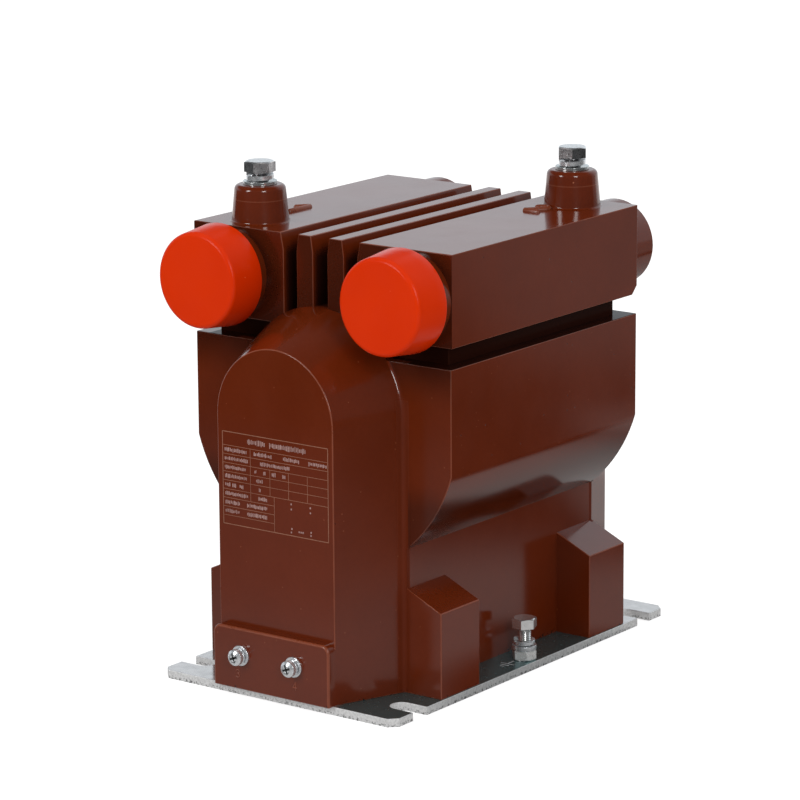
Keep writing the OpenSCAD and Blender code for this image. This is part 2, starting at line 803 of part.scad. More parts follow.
// A pan-head screw with a cross recess
module secondary_screw(side) {
  dome = 0.35 * lv_head_h;
  slot = [0.62 * lv_head_d, 1.2, 1.6];
  color(zinc_c) at_lv(side) rotate([90, 0, 0]) translate([0, 0, lv_seat - pad_face]) {
    difference() {
      union() {
        cylinder(r = lv_head_d / 2, h = lv_head_h - dome);
        translate([0, 0, lv_head_h - dome])
          cylinder(r1 = lv_head_d / 2, r2 = lv_head_d / 2 - 1.6 * dome, h = dome);
      }
      for (turn = [20, 110]) rotate([0, 0, turn])
        translate([0, 0, lv_head_h]) cube([slot[0], slot[1], 2 * slot[2]], center = true);
    }
    translate([0, 0, -lv_grip - lv_seat + pad_face])
      cylinder(r = lv_d / 2, h = lv_grip + lv_seat - pad_face + EPS);
  }
}

// Earth terminal

module at_earth(z) {
  translate([earth_x, 0, z]) children();
}

module earth_nut() {
  color(zinc_c) at_earth(plate_t) difference() {
    hexagon(earth_af, earth_nut_h, earth_nut_turn, true);
    translate([0, 0, -EPS]) cylinder(r = earth_d / 2, h = earth_nut_h + 2 * EPS);
  }
}

module earth_washers() {
  color(zinc_c) for (k = [0, 1]) at_earth(earth_washer_z + k * earth_washer_t)
    ring(earth_washer_d / 2, earth_d / 2 + washer_fit, earth_washer_t);
}

module earth_spring_washer() {
  color(zinc_c) at_earth(earth_spring_z) rotate([0, 0, 30])
    spring_washer(earth_spring_d / 2, earth_d / 2 + washer_fit, earth_spring_t);
}

module earth_bolt() {
  color(zinc_c) at_earth(earth_seat) {
    hexagon(earth_af, earth_head_h, earth_head_turn);
    translate([0, 0, -earth_seat + 1]) cylinder(r = earth_d / 2, h = earth_seat - 1 + EPS);
  }
}

// Core, windings and leads, cast into the body

module core_solid() {
  rotate([90, 0, 90]) translate([0, 0, -core_w / 2]) linear_extrude(core_w) difference() {
    translate([-core_end, core_bottom]) square([2 * core_end, window_h + 2 * core_t]);
    translate([-window_l / 2, window_z]) square([window_l, window_h]);
  }
}

module strap_solid() {
  translate([-strap_t / 2, -strap_w / 2, plate_t]) cube([strap_t, strap_w, core_floor]);
}

module winding_outline(in_w, in_h, build) {
  oval(in_w + build, in_h + build, coil_corner + build);
}

module winding_solid(in_w, in_h, build) {
  translate([0, 0, coil_z]) along_y(coil_l) difference() {
    winding_outline(in_w, in_h, build);
    winding_outline(in_w, in_h, 0);
  }
}

// The rod between the primary winding and the contact that has no terminal
module primary_rod(side) {
  translate([side * primary_lead_x, -side * primary_lead_y, coil_z])
    cylinder(r = primary_lead_d / 2, h = fuse_z - coil_z);
}

// A flat strip from the secondary winding down and forward to its insert
module secondary_strip(side) {
  w = secondary_lead_w;
  t = secondary_lead_t;
  top = coil_z + w / 2;
  low = lv_z - w / 2;
  back = -coil_l / 2;
  upright = back - secondary_lead_out - w;
  front = -pad_face + secondary_lead_cover;
  inner = side * secondary_lead_x - t / 2;
  run_x = abs(side * secondary_lead_x - lv_x(side));
  translate([inner, upright, top - w]) cube([t, back - upright, w]);
  translate([inner, upright, low]) cube([t, w, top - low]);
  translate([inner, front, low]) cube([t, upright + w - front, w]);
  translate([min(lv_x(side), side * secondary_lead_x) - (side == LEFT ? t / 2 : 0), front, low])
    cube([run_x + t / 2, t, w]);
}

module core() {
  color(steel_c) core_solid();
}

module core_strap() {
  color(copper_c) strap_solid();
}

module primary_winding() {
  color(copper_c) winding_solid(primary_in_w, primary_in_h, primary_t);
}

module secondary_winding() {
  color(copper_c) winding_solid(secondary_in_w, secondary_in_h, secondary_t);
}

module primary_lead(side) {
  color(copper_c) difference() {
    primary_rod(side);
    translate([0, 0, coil_z]) along_y(coil_l)
      winding_outline(primary_in_w, primary_in_h, primary_t);
    at_fuse(side) rod_y(bore_r, -box_l / 2, box_l / 2);
  }
}

module secondary_lead(side) {
  color(copper_c) difference() {
    secondary_strip(side);
    at_lv(side) rotate([90, 0, 0]) translate([0, 0, -lv_insert_l])
      cylinder(r = lv_insert_d / 2, h = lv_insert_l + EPS);
  }
}

resin_body();
base_plate();
base_screws();
base_inserts();
fuse_cap(LEFT);  // fuse_cap_left
fuse_cap(RIGHT);  // fuse_cap_right
cap_gasket(LEFT);  // cap_gasket_left
cap_gasket(RIGHT);  // cap_gasket_right
contact_plug(LEFT);  // contact_plug_left
contact_plug(RIGHT);  // contact_plug_right
contact_spring(LEFT);  // contact_spring_left
contact_spring(RIGHT);  // contact_spring_right
front_sleeve(LEFT);  // front_sleeve_left
front_sleeve(RIGHT);  // front_sleeve_right
rear_cup(LEFT);  // rear_cup_left
rear_cup(RIGHT);  // rear_cup_right
fuse_barrel(LEFT);  // fuse_barrel_left
fuse_barrel(RIGHT);  // fuse_barrel_right
ferrule(LEFT, FRONT);  // front_ferrule_left
ferrule(RIGHT, FRONT);  // front_ferrule_right
ferrule(LEFT, BACK);  // rear_ferrule_left
ferrule(RIGHT, BACK);  // rear_ferrule_right
terminal_insert(LEFT);  // terminal_insert_a
terminal_insert(RIGHT);  // terminal_insert_b
terminal_washer(LEFT);  // terminal_washer_a
terminal_washer(RIGHT);  // terminal_washer_b
terminal_spring_washer(LEFT);  // terminal_spring_washer_a
terminal_spring_washer(RIGHT);  // terminal_spring_washer_b
terminal_bolt(LEFT);  // terminal_bolt_a
terminal_bolt(RIGHT);  // terminal_bolt_b
secondary_insert(LEFT);  // secondary_insert_a
secondary_insert(RIGHT);  // secondary_insert_b
secondary_washer(LEFT);  // secondary_washer_a
secondary_washer(RIGHT);  // secondary_washer_b
secondary_spring_washer(LEFT);  // secondary_spring_washer_a
secondary_spring_washer(RIGHT);  // secondary_spring_washer_b
secondary_screw(LEFT);  // secondary_screw_a
secondary_screw(RIGHT);  // secondary_screw_b
earth_nut();
earth_washers();
earth_spring_washer();
earth_bolt();
core();
core_strap();
primary_winding();
secondary_winding();
primary_lead(LEFT);  // primary_lead_a
primary_lead(RIGHT);  // primary_lead_b
secondary_lead(LEFT);  // secondary_lead_a
secondary_lead(RIGHT);  // secondary_lead_b
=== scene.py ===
"""Looks of a cast-resin voltage transformer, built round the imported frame.

Every length is in metres, in the frame's own axes: the nameplate arch faces -Y,
+X is the side of the earth bolt, and the base plate stands on Z = 0.
"""

import json
import math
import random

import bmesh
import bpy
from mathutils import Matrix, Vector


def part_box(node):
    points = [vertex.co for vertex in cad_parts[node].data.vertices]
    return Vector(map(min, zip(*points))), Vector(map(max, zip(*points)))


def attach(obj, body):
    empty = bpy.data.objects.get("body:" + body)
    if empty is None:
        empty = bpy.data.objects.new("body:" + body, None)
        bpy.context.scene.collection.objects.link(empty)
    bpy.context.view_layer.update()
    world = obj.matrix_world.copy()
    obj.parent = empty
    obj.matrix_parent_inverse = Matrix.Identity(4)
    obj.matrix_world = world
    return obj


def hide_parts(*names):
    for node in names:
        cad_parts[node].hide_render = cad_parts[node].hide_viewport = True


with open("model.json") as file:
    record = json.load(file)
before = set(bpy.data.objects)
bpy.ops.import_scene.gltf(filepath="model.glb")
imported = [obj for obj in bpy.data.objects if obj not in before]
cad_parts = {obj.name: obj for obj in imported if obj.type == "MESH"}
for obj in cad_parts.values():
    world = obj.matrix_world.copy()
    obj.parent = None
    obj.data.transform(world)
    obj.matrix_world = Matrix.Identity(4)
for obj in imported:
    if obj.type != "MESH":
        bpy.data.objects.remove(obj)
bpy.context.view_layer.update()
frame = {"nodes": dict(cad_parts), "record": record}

MM = 0.001
SEED = 7671

# Camera, as solved from the photograph's corners
CAMERA_AZIMUTH = math.radians(36.716)
CAMERA_ELEVATION = math.radians(13.252)
CAMERA_ROLL = math.radians(-0.372)
CAMERA_DISTANCE = 2293.3 * MM
CAMERA_AIM_RIGHT = -11.169 * MM
CAMERA_AIM_UP = 1.524 * MM
CAMERA_AIM_Z = 150.0 * MM
FOCAL_PIXELS = 3861.7
IMAGE_PIXELS = 800.0
SENSOR_MM = 36.0
VIEW_DEPTH = 50.0

# The level way from the camera past the object, to the bright backdrop
BACKDROP_WAY = (-0.594, 0.805, 0.0)

# Floor and lamps: a lamp has a name, a place and its watts, and all have one size and one aim
FLOOR_HALF = 6.0
FLOOR_DROP = 0.05 * MM
LAMPS = (("front_left", (-0.64, -1.90, 1.0), 15), ("front_right", (1.60, -1.19, 1.0), 14))
LAMP_SIZE = (0.5, 0.8)
LAMP_AIM = (0, 0, 0.15)

# Edge radii
CAST_EDGE = 0.5 * MM
PAD_EDGE = 1.3 * MM
PLATE_EDGE = 0.35 * MM
HARDWARE_EDGE = 0.3 * MM
SMALL_EDGE = 0.18 * MM
EDGE_SEGMENTS = 3
PAD_EDGE_SEGMENTS = 4

# An edge's room is probed at ROOM_PROBES, shares of its length. Its rounding takes up to ROOM_TAKEN of that
# room, and is left out where less than LEAST_ROUNDING of its width would be left. Broad faces lead the
# shading by NORMAL_WEIGHT.
ROOM_PROBES = (0.15, 0.5, 0.85)
ROOM_TAKEN = 0.45
LEAST_ROUNDING = 0.25
NORMAL_WEIGHT = 80

# Angles between faces: from SHARP_ANGLE an edge is rounded, or shaded as sharp on a turned or swept piece,
# and below FLAT_ANGLE it counts as none. Rounded pieces, threads and numbers are shaded as sharp from
# angles of their own.
SHARP_ANGLE = math.radians(28)
FLAT_ANGLE = math.radians(1)
CREASE_ANGLE = math.radians(38)
THREAD_ANGLE = math.radians(20)
NUMBER_ANGLE = math.radians(60)

# In the CAD meshes points closer than SAME_POINT are one, and faces flatter than SAME_PLANE are joined.
# A length below TINY counts as none.
SAME_POINT = 2e-6
SAME_PLANE = math.radians(0.15)
TINY = 1e-6

# The terminal pad's face has a normal with a Y below FORWARD, and is level within LEVEL. Its rim lies
# beyond the half width or above the height in PAD_RIM, and above PAD_FOOT. Edges within INSERT_MARGIN
# of an insert stay sharp.
FORWARD = -0.999
LEVEL = 0.01 * MM
PAD_RIM = (41.9 * MM, 36.4 * MM)
PAD_FOOT = 6.0 * MM
INSERT_MARGIN = 0.5 * MM

# Painted shade in the casting's narrow places, from its middle or from the floor: where it starts and is
# full, but in NECK_Z and FRONT_Y the two ends of the shaded band
NECK_X = (60 * MM, 62 * MM)
NECK_LEFT_X = (-84 * MM, -82 * MM)
NECK_Y = (90 * MM, 88 * MM)
NECK_Z = (198.9 * MM, 210.6 * MM)
GROOVE_X = (29.5 * MM, 29.0 * MM)
GROOVE_Y = (94.0 * MM, 89.0 * MM)
GROOVE_TOP = (260 * MM, 251 * MM)
GROOVE_BOTTOM = (199 * MM, 200 * MM)
FRONT_Y = (94.0 * MM, 94.4 * MM)
FRONT_Z = (172 * MM, 199 * MM)
UNDER_X = (61 * MM, 62 * MM)
UNDER_TOP = (132 * MM, 112 * MM)
UNDER_BOTTOM = (88 * MM, 91 * MM)
PAINTED_SHADE_SOFT = 0.2 * MM

# Other marks: specks paler above a post's foot, the band of its parting line, chips just above the plate,
# and the dull root of the arch, a band in X and in Y
POST_FOOT = (266 * MM, 268 * MM)
PARTING_Z = (277.9 * MM, 278.1 * MM)
PARTING_SOFT = 0.3 * MM
CHIPS_Z = (7.5 * MM, 5.2 * MM)
ROOT_X = (54 * MM, 62 * MM)
ROOT_Y = (92 * MM, 98 * MM)
ROOT_Z = (186 * MM, 170 * MM)
ROOT_SOFT = 1 * MM

# Faces of the plate whose normal has a Z below this are its cut edges
UPRIGHT = 0.3

# Where the plate's right side starts to be rubbed and is full so, and where its cut edges turn torn
RUBBED_X = (42 * MM, 45 * MM)
RUBBED_Y = (97 * MM, 90 * MM)
TORN_Z = (3.5 * MM, 2.7 * MM)
TORN_RAGGED = 2.6 * MM

# Where a bolt head's painted highlight on its crown starts and is full, below the head's top
CROWN_HIGHLIGHT = (0.9 * MM, 0.5 * MM)

# The fuse caps, as turned: radii and lengths along their axis, with one ring more on their flank
CAP_RIM_R = 30.4 * MM
CAP_FRONT_R = 28.0 * MM
CAP_LENGTH = 23.3 * MM
CAP_EDGE_R = 3.0 * MM
CAP_BORE_R = 24.8 * MM
CAP_WALL = 4.0 * MM
CAP_FLANK = 0.3 * CAP_LENGTH
RIM_EDGE_R = 0.5 * MM

# Turned pieces and split rings are made of this many steps round
TURN_STEPS = 96

# Spring washers: play round the bolt, thickness as a share of the height, edge, and the gap's width and
# place in degrees
RING_PLAY = 0.15 * MM
RING_SHARE = 0.52
RING_CUT = 0.22 * MM
RING_GAP = 12.0
RING_OPENS_AT = 212.0
SCREW_R = 2.5 * MM

# Painted shade in the secondary screws' recesses: half length, half width, half depth, depth of its middle,
# and its two bars' turn in degrees
RECESS = (2.9 * MM, 0.56 * MM)
RECESS_HALF = 0.3 * MM
RECESS_DEPTH = 0.9 * MM
RECESS_TURNS = (20, 110)

# Threads: radius of the shank, pitch and depth, then the steps round a rod and the rings in a turn
EARTH_THREAD = (4.0 * MM, 1.25 * MM, 0.62 * MM)
TERMINAL_THREAD = (5.0 * MM, 1.5 * MM, 0.75 * MM)
ROD_STEPS = 36
ROD_RINGS = 8

# A CAD shank lies within the thread's radius and this play, and a new one enters its head by the lap
SHANK_PLAY = 0.2 * MM
SHANK_LAP = 0.5 * MM

# Raised numbers: digit, place and size in millimetres, on the fuse boxes' tops and on the terminal pad.
# Each stroke has a half width and a height, and its ends and its section are rounded in steps, the ends
# from END_LEAST of its size. A primary washer lies POST_RISE above a fuse box's top.
POST_RISE = 21.7 * MM
TOP_NUMBERS = ((1, -64.0, -31.5, 19.0), (2, 53.0, 48.0, 15.0))
TOP_STROKE = (1.5 * MM, 1.9 * MM)
PAD_NUMBERS = ((3, -24.3, 14.2, 4.6), (4, 17.6, 14.0, 4.6))
PAD_STROKE = (0.3 * MM, 0.3 * MM)
NUMBER_SINK = 0.4 * MM
END_STEPS = 4
END_LEAST = 0.05
SECTION_STEPS = 6

# The lines marked on the nameplate arch, whose face is ARCH_COVER before the core
TABLE_LEFT = -38.0 * MM
TABLE_RIGHT = 38.0 * MM
TABLE_TOP = 155.0 * MM
TABLE_BOTTOM = 100.5 * MM
TABLE_HEADER = 8.0 * MM
TABLE_ROWS = 9
LINE_WIDTH = 0.42 * MM
THIN_SHARE = 0.6
MARK_PROUD = 0.03 * MM
ARCH_COVER = 10.75 * MM

# The table's upright lines: share of its width, first and last row. The rows below the full ones are short.
TABLE_COLUMNS = ((0.265, 0, 6), (0.451, 2, 5), (0.628, 2, 5), (0.806, 2, 5), (0.49, 5, TABLE_ROWS))
FULL_ROWS = 6
SHORT_ROW = 0.49

# Runs of plain bars in the header and the rows, as shares of the table's width, and the bars' heights
HEADER_RUNS = ((0.24, 0.41), (0.45, 0.79))
ROW_RUNS = (
    ((0.02, 0.23), (0.30, 0.47), (0.58, 0.73), (0.82, 0.99)),
    ((0.02, 0.24), (0.36, 0.64)),
    ((0.02, 0.22), (0.305, 0.32), (0.39, 0.405), (0.47, 0.50), (0.57, 0.60)),
    ((0.02, 0.23), (0.32, 0.38)),
    ((0.02, 0.06), (0.09, 0.13), (0.16, 0.20), (0.345, 0.365)),
    ((0.02, 0.23), (0.34, 0.415)),
    ((0.02, 0.16), (0.23, 0.42)),
    ((0.02, 0.15), (0.23, 0.42)))
HEADER_TALL = 3.3
ROW_TALL = 2.4

# The ranges of the bars' random widths, shares of the height, shifts upward and gaps, in millimetres
# but for the shares
BAR_WIDTHS = (0.35, 0.75)
BAR_SHARES = (0.55, 1.0)
BAR_SHIFTS = (-0.2, 0.2)
BAR_GAPS = (0.3, 0.6)

# Dots in the table's lower right field, in millimetres, with their half width and half height
DOTS = ((11.5, 118.9), (11.5, 115.9), (25.2, 118.7), (25.2, 115.8), (11.8, 104.5), (11.4, 102.4),
        (25.6, 104.4), (25.5, 102.5), (17.0, 103.4), (18.4, 103.4), (19.8, 103.4))
DOT = (0.4, 0.5)

# The earth symbol: its middle, its bars' places and half lengths, its stem's ends, and half a line's width
EARTH_X = 74.5 * MM
EARTH_BARS = ((-14.5, 4.6), (-17.3, 3.0), (-20.1, 1.4))
EARTH_STEM = (-14.5 * MM, -8.0 * MM)
EARTH_LINE = 0.35 * MM


# Camera, floor and light

def place_camera():
    right = Vector((math.cos(CAMERA_AZIMUTH), math.sin(CAMERA_AZIMUTH), 0))
    back = Vector((math.sin(CAMERA_AZIMUTH) * math.cos(CAMERA_ELEVATION),
                   -math.cos(CAMERA_AZIMUTH) * math.cos(CAMERA_ELEVATION),
                   math.sin(CAMERA_ELEVATION)))
    up = back.cross(right)
    data = bpy.data.cameras.new("photo_camera")
    data.sensor_width = SENSOR_MM
    data.lens = FOCAL_PIXELS / IMAGE_PIXELS * SENSOR_MM
    data.clip_end = VIEW_DEPTH
    camera = bpy.data.objects.new("photo_camera", data)
    spot = (Vector((0, 0, CAMERA_AIM_Z)) + right * CAMERA_AIM_RIGHT
            + up * CAMERA_AIM_UP + back * CAMERA_DISTANCE)
    rolled_right = right * math.cos(CAMERA_ROLL) + up * math.sin(CAMERA_ROLL)
    rolled_up = up * math.cos(CAMERA_ROLL) - right * math.sin(CAMERA_ROLL)
    turn = Matrix((rolled_right, rolled_up, back)).transposed().to_4x4()
    camera.matrix_world = Matrix.Translation(spot) @ turn
    bpy.context.collection.objects.link(camera)
    bpy.context.scene.camera = camera


def add(tree, kind, settings=None, **inputs):
    """A new node. Inputs are sockets' names with _ for a space, or i and a number, and are set to
    a value or joined to another socket."""
    node = tree.nodes.new(kind)
    for key, value in (settings or {}).items():
        setattr(node, key, value)
    for key, value in inputs.items():
        numbered = key[0] == "i" and key[1:].isdigit()
        socket = node.inputs[int(key[1:]) if numbered else key.replace("_", " ")]
        if isinstance(value, bpy.types.NodeSocket):
            tree.links.new(value, socket)
        else:
            socket.default_value = value
    return node


def ramp(tree, value, low, high, start=0.0, end=1.0):
    """value mapped from low..high to start..end, smoothly and clamped."""
    node = add(tree, "ShaderNodeMapRange", {"interpolation_type": "SMOOTHSTEP"},
               Value=value, From_Min=low, From_Max=high, To_Min=start, To_Max=end)
    return node.outputs["Result"]


def maths(tree, operation, a, b=0.0):
    node = add(tree, "ShaderNodeMath", {"operation": operation}, i0=a, i1=b)
    return node.outputs["Value"]


def product(tree, result, *others):
    for value in others:
        result = maths(tree, "MULTIPLY", result, value)
    return result


def largest(tree, result, *others):
    for value in others:
        result = maths(tree, "MAXIMUM", result, value)
    return result


def axes_of(tree, place):
    return add(tree, "ShaderNodeSeparateXYZ", Vector=place).outputs


def shown_by_ray(tree, diffuse, mirror, plain):
    """plain to the camera and through glass, mirror in reflections, and diffuse as a source of light."""
    rays = add(tree, "ShaderNodeLightPath").outputs
    lit = add(tree, "ShaderNodeMixShader", Fac=rays["Is Glossy Ray"], i1=diffuse.outputs[0],
              i2=mirror.outputs[0])
    seen = largest(tree, rays["Is Camera Ray"], rays["Is Transmission Ray"])
    return add(tree, "ShaderNodeMixShader", Fac=seen, i1=lit.outputs[0], i2=plain.outputs[0]).outputs[0]


def blend_colors(tree, factor, a, b):
    """Colour a at factor 0 and colour b at factor 1."""
    node = add(tree, "ShaderNodeMix", {"data_type": "RGBA"})
    for index, value in ((0, factor), (6, a), (7, b)):
        if isinstance(value, bpy.types.NodeSocket):
            tree.links.new(value, node.inputs[index])
        else:
            node.inputs[index].default_value = value
    return node.outputs[2]


def light_world():
    """White behind the object to the camera, bright low behind it in reflections, and an overhead fill."""
    world = bpy.data.worlds.new("studio")
    bpy.context.scene.world = world
    world.use_nodes = True
    tree = world.node_tree
    tree.nodes.clear()
    way = add(tree, "ShaderNodeTexCoord").outputs["Generated"]
    axes = axes_of(tree, way)
    toward = add(tree, "ShaderNodeVectorMath", {"operation": "DOT_PRODUCT"}, i0=way,
                 i1=BACKDROP_WAY).outputs["Value"]
    backdrop = ramp(tree, toward, -0.1, 0.75, 0.10, 0.95)
    rise = maths(tree, "SUBTRACT", axes["Z"], ramp(tree, axes["X"], -0.45, -0.25, 0.0, 0.32))
    seen = product(tree, backdrop, ramp(tree, rise, 0.30, 0.48, 1.0, 0.10))
    mirror = add(tree, "ShaderNodeBackground", Color=(0.86, 0.94, 1.0, 1), Strength=seen)
    height = ramp(tree, axes["Z"], -0.1, 1.0, 0.18, 1.25)
    fill = add(tree, "ShaderNodeBackground", Color=(1.0, 1.0, 1.0, 1), Strength=height)
    white = add(tree, "ShaderNodeBackground", Color=(1, 1, 1, 1), Strength=1.0)
    add(tree, "ShaderNodeOutputWorld", Surface=shown_by_ray(tree, fill, mirror, white))


def hang_lamps():
    for name, place, watts in LAMPS:
        data = bpy.data.lights.new(name, "AREA")
        data.shape = "RECTANGLE"
        data.size, data.size_y = LAMP_SIZE
        data.energy = watts
        lamp = bpy.data.objects.new(name, data)
        lamp.location = place
        lamp.rotation_euler = (Vector(LAMP_AIM) - Vector(place)).to_track_quat("-Z", "Y").to_euler()
        bpy.context.collection.objects.link(lamp)


def floor_in_reflections(tree, place):
    """How bright a reflection shows each part of the floor: a soft rim before and behind the object,
    a lit field to the front right, and fields aside and to the back left. It is dim under the object."""
    axes = axes_of(tree, place)
    x, y = axes["X"], axes["Y"]
    far = add(tree, "ShaderNodeVectorMath", {"operation": "LENGTH"}, i0=place).outputs["Value"]
    askew = maths(tree, "SUBTRACT", y, x)
    leftward = maths(tree, "SUBTRACT", y, product(tree, x, 2.0))
    front = product(tree, ramp(tree, far, 0.20, 0.40, 0.42, 0.20), ramp(tree, far, 0.50, 0.85, 1.0, 0.04))
    field = product(tree, ramp(tree, x, 0.2, 0.4), ramp(tree, y, -0.2, -0.5, 0.0, 0.6),
                    ramp(tree, far, 1.15, 0.95))
    rear = ramp(tree, far, 0.22, 0.365, 0.43, 0.03)
    aside = product(tree, ramp(tree, far, 0.7, 1.0), ramp(tree, askew, 0.02, 0.14, 0.0, 0.28))
    near_aside = product(tree, band(tree, far, 0.34, 0.68, 0.08), ramp(tree, askew, 0.08, 0.12, 0.0, 0.40))
    back_left = product(tree, ramp(tree, far, 0.35, 0.55), ramp(tree, leftward, 0.30, 0.55))
    behind = ramp(tree, y, -0.08, 0.0)
    seen = maths(tree, "ADD", product(tree, largest(tree, rear, aside, near_aside, back_left), behind),
                 product(tree, largest(tree, front, field), maths(tree, "SUBTRACT", 1.0, behind)))
    return product(tree, seen, ramp(tree, far, 0.11, 0.15, 0.1, 1.0))


def lay_floor():
    """A pale floor: white with a soft shadow to the camera, and uneven in reflections."""
    bm = bmesh.new()
    bmesh.ops.create_grid(bm, x_segments=2, y_segments=2, size=FLOOR_HALF)
    mesh = bpy.data.meshes.new("floor")
    bm.to_mesh(mesh)
    bm.free()
    floor = bpy.data.objects.new("floor", mesh)
    floor.location = (0, 0, -FLOOR_DROP)
    bpy.context.collection.objects.link(floor)
    mat, tree, place = start_material("floor")
    pale = add(tree, "ShaderNodeBsdfDiffuse", Color=(0.6, 0.6, 0.6, 1))
    mirror = add(tree, "ShaderNodeEmission", Color=(1, 0.98, 0.97, 1),
                 Strength=floor_in_reflections(tree, place))
    glow = add(tree, "ShaderNodeEmission", Color=(1, 1, 1, 1), Strength=0.72)
    shade = add(tree, "ShaderNodeBsdfDiffuse", Color=(0.42, 0.42, 0.42, 1))
    white = add(tree, "ShaderNodeAddShader", i0=glow.outputs[0], i1=shade.outputs[0])
    add(tree, "ShaderNodeOutputMaterial", Surface=shown_by_ray(tree, pale, mirror, white))
    mesh.materials.append(mat)


# Materials

def start_material(name):
    mat = bpy.data.materials.new(name)
    mat.use_nodes = True
    tree = mat.node_tree
    tree.nodes.clear()
    place = add(tree, "ShaderNodeTexCoord").outputs["Object"]
    return mat, tree, place


def noise(tree, place, scale, detail=4.0, roughness=0.55):
    node = add(tree, "ShaderNodeTexNoise", Vector=place, Scale=scale, Detail=detail, Roughness=roughness)
    return node.outputs["Fac"]


def finish_material(tree, **inputs):
    shader = add(tree, "ShaderNodeBsdfPrincipled", **inputs)
    add(tree, "ShaderNodeOutputMaterial", Surface=shader.outputs[0])


def bump(tree, height, distance, strength=1.0, normal=None):
    inputs = {"Height": height, "Distance": distance, "Strength": strength}
    if normal is not None:
        inputs["Normal"] = normal
    return add(tree, "ShaderNodeBump", **inputs).outputs["Normal"]


def specks(tree, place, scale, radius, share):
    """1 inside small round specks: one in each cell of the given share of cells."""
    cells = add(tree, "ShaderNodeTexVoronoi", {"feature": "F1"}, Vector=place, Scale=scale)
    chosen = add(tree, "ShaderNodeSeparateColor", Color=cells.outputs["Color"]).outputs[0]
    inside = ramp(tree, cells.outputs["Distance"], radius, 0.6 * radius)
    return product(tree, inside, maths(tree, "LESS_THAN", chosen, share))


def band(tree, value, low, high, soft):
    """1 between low and high, 0 outside, with soft flanks outside them."""
    return product(tree, ramp(tree, value, low - soft, low), ramp(tree, value, high + soft, high))


def painted_crevice_shade(tree, place):
    """How much painted shade darkens the casting: in the neck under the fuse
    boxes and the grooves between the ribs, a painted shadow on the front below the caps, and the barrel's
    underside."""
    axes = axes_of(tree, place)
    x = maths(tree, "ABSOLUTE", axes["X"])
    y = maths(tree, "ABSOLUTE", axes["Y"])
    z = axes["Z"]
    inner = largest(tree, ramp(tree, x, *NECK_X), ramp(tree, y, *NECK_Y))
    neck = product(tree, inner, ramp(tree, axes["X"], *NECK_LEFT_X), band(tree, z, *NECK_Z, PAINTED_SHADE_SOFT))
    groove = product(tree, ramp(tree, x, *GROOVE_X), ramp(tree, y, *GROOVE_Y),
                     ramp(tree, z, *GROOVE_TOP), ramp(tree, z, *GROOVE_BOTTOM))
    front = product(tree, band(tree, y, *FRONT_Y, PAINTED_SHADE_SOFT), ramp(tree, z, *FRONT_Z, 0.0, 0.55))
    under = product(tree, ramp(tree, x, *UNDER_X, 0.0, 0.5), ramp(tree, z, *UNDER_TOP),
                    ramp(tree, z, *UNDER_BOTTOM))
    return largest(tree, product(tree, largest(tree, neck, groove), 0.88), front, under)


def darker(color, share):
    return [share * c for c in color[:3]] + [1]


def resin_material(name, dark, light, smooth=0.13, dull=0.18):
    """Cast resin: an even gloss, faint clouds, a few pits and paler specks, chips at its foot,
    a parting line round the posts, a duller root beside the arch, and painted shade in its narrow places."""
    mat, tree, place = start_material(name)
    axes = axes_of(tree, place)
    z = axes["Z"]
    cloud = noise(tree, place, 22, 3)
    grain = noise(tree, place, 420, 3)
    color = blend_colors(tree, ramp(tree, cloud, 0.3, 0.7), dark, light)
    color = blend_colors(tree, ramp(tree, grain, 0.35, 0.75, 0.0, 0.2), color, darker(dark, 0.8))
    dust = product(tree, specks(tree, place, 230, 0.13, 0.10), ramp(tree, z, *POST_FOOT, 0.3, 1.0))
    color = blend_colors(tree, dust, color, (0.30, 0.10, 0.05, 1))
    parting = product(tree, band(tree, z, *PARTING_Z, PARTING_SOFT), 0.3)
    color = blend_colors(tree, parting, color, (0.26, 0.09, 0.05, 1))
    pits = specks(tree, place, 120, 0.05, 0.10)
    chips = product(tree, ramp(tree, z, *CHIPS_Z), ramp(tree, noise(tree, place, 360, 2), 0.60, 0.66))
    # Painted shade in the narrow places: with the pits and chips it blends the resin toward near-black, and
    # it dims the reflections there.
    shade = painted_crevice_shade(tree, place)
    color = blend_colors(tree, largest(tree, pits, chips, shade), color, (0.008, 0.003, 0.002, 1))
    root = product(tree, band(tree, maths(tree, "ABSOLUTE", axes["Y"]), *ROOT_Y, ROOT_SOFT),
                   band(tree, maths(tree, "ABSOLUTE", axes["X"]), *ROOT_X, ROOT_SOFT),
                   ramp(tree, z, *ROOT_Z, 0.0, 0.5))
    gloss = largest(tree, ramp(tree, noise(tree, place, 45, 4), 0.25, 0.8, smooth, dull), root)
    sheen = maths(tree, "MINIMUM", ramp(tree, root, 0.0, 0.5, 0.5, 0.1),
                  ramp(tree, shade, 0.55, 0.85, 0.5, 0.03))
    waves = bump(tree, noise(tree, place, 14, 1), 0.15 * MM, 0.25)
    peel = bump(tree, noise(tree, place, 240, 2), 0.02 * MM, 0.05, waves)
    pitted = bump(tree, maths(tree, "SUBTRACT", 1.0, pits), 0.2 * MM, 0.6, peel)
    finish_material(tree, Base_Color=color, Roughness=gloss, IOR=1.56, Specular_IOR_Level=sheen,
                    Normal=pitted)
    return mat


def cap_material():
    """Semi-gloss moulded plastic, faintly clouded and dusty."""
    mat, tree, place = start_material("cap_plastic")
    cloud = noise(tree, place, 30, 1)
    color = blend_colors(tree, ramp(tree, cloud, 0.3, 0.7), (0.530, 0.0225, 0.0001, 1),
                         (0.550, 0.0245, 0.0002, 1))
    dust = product(tree, specks(tree, place, 190, 0.09, 0.05), 0.25)
    color = blend_colors(tree, dust, color, (0.85, 0.30, 0.18, 1))
    gloss = ramp(tree, noise(tree, place, 90, 2), 0.3, 0.8, 0.22, 0.27)
    fine = bump(tree, noise(tree, place, 500, 2), 0.02 * MM, 0.15)
    finish_material(tree, Base_Color=color, Roughness=gloss, IOR=1.36, Specular_IOR_Level=0.2, Normal=fine)
    return mat


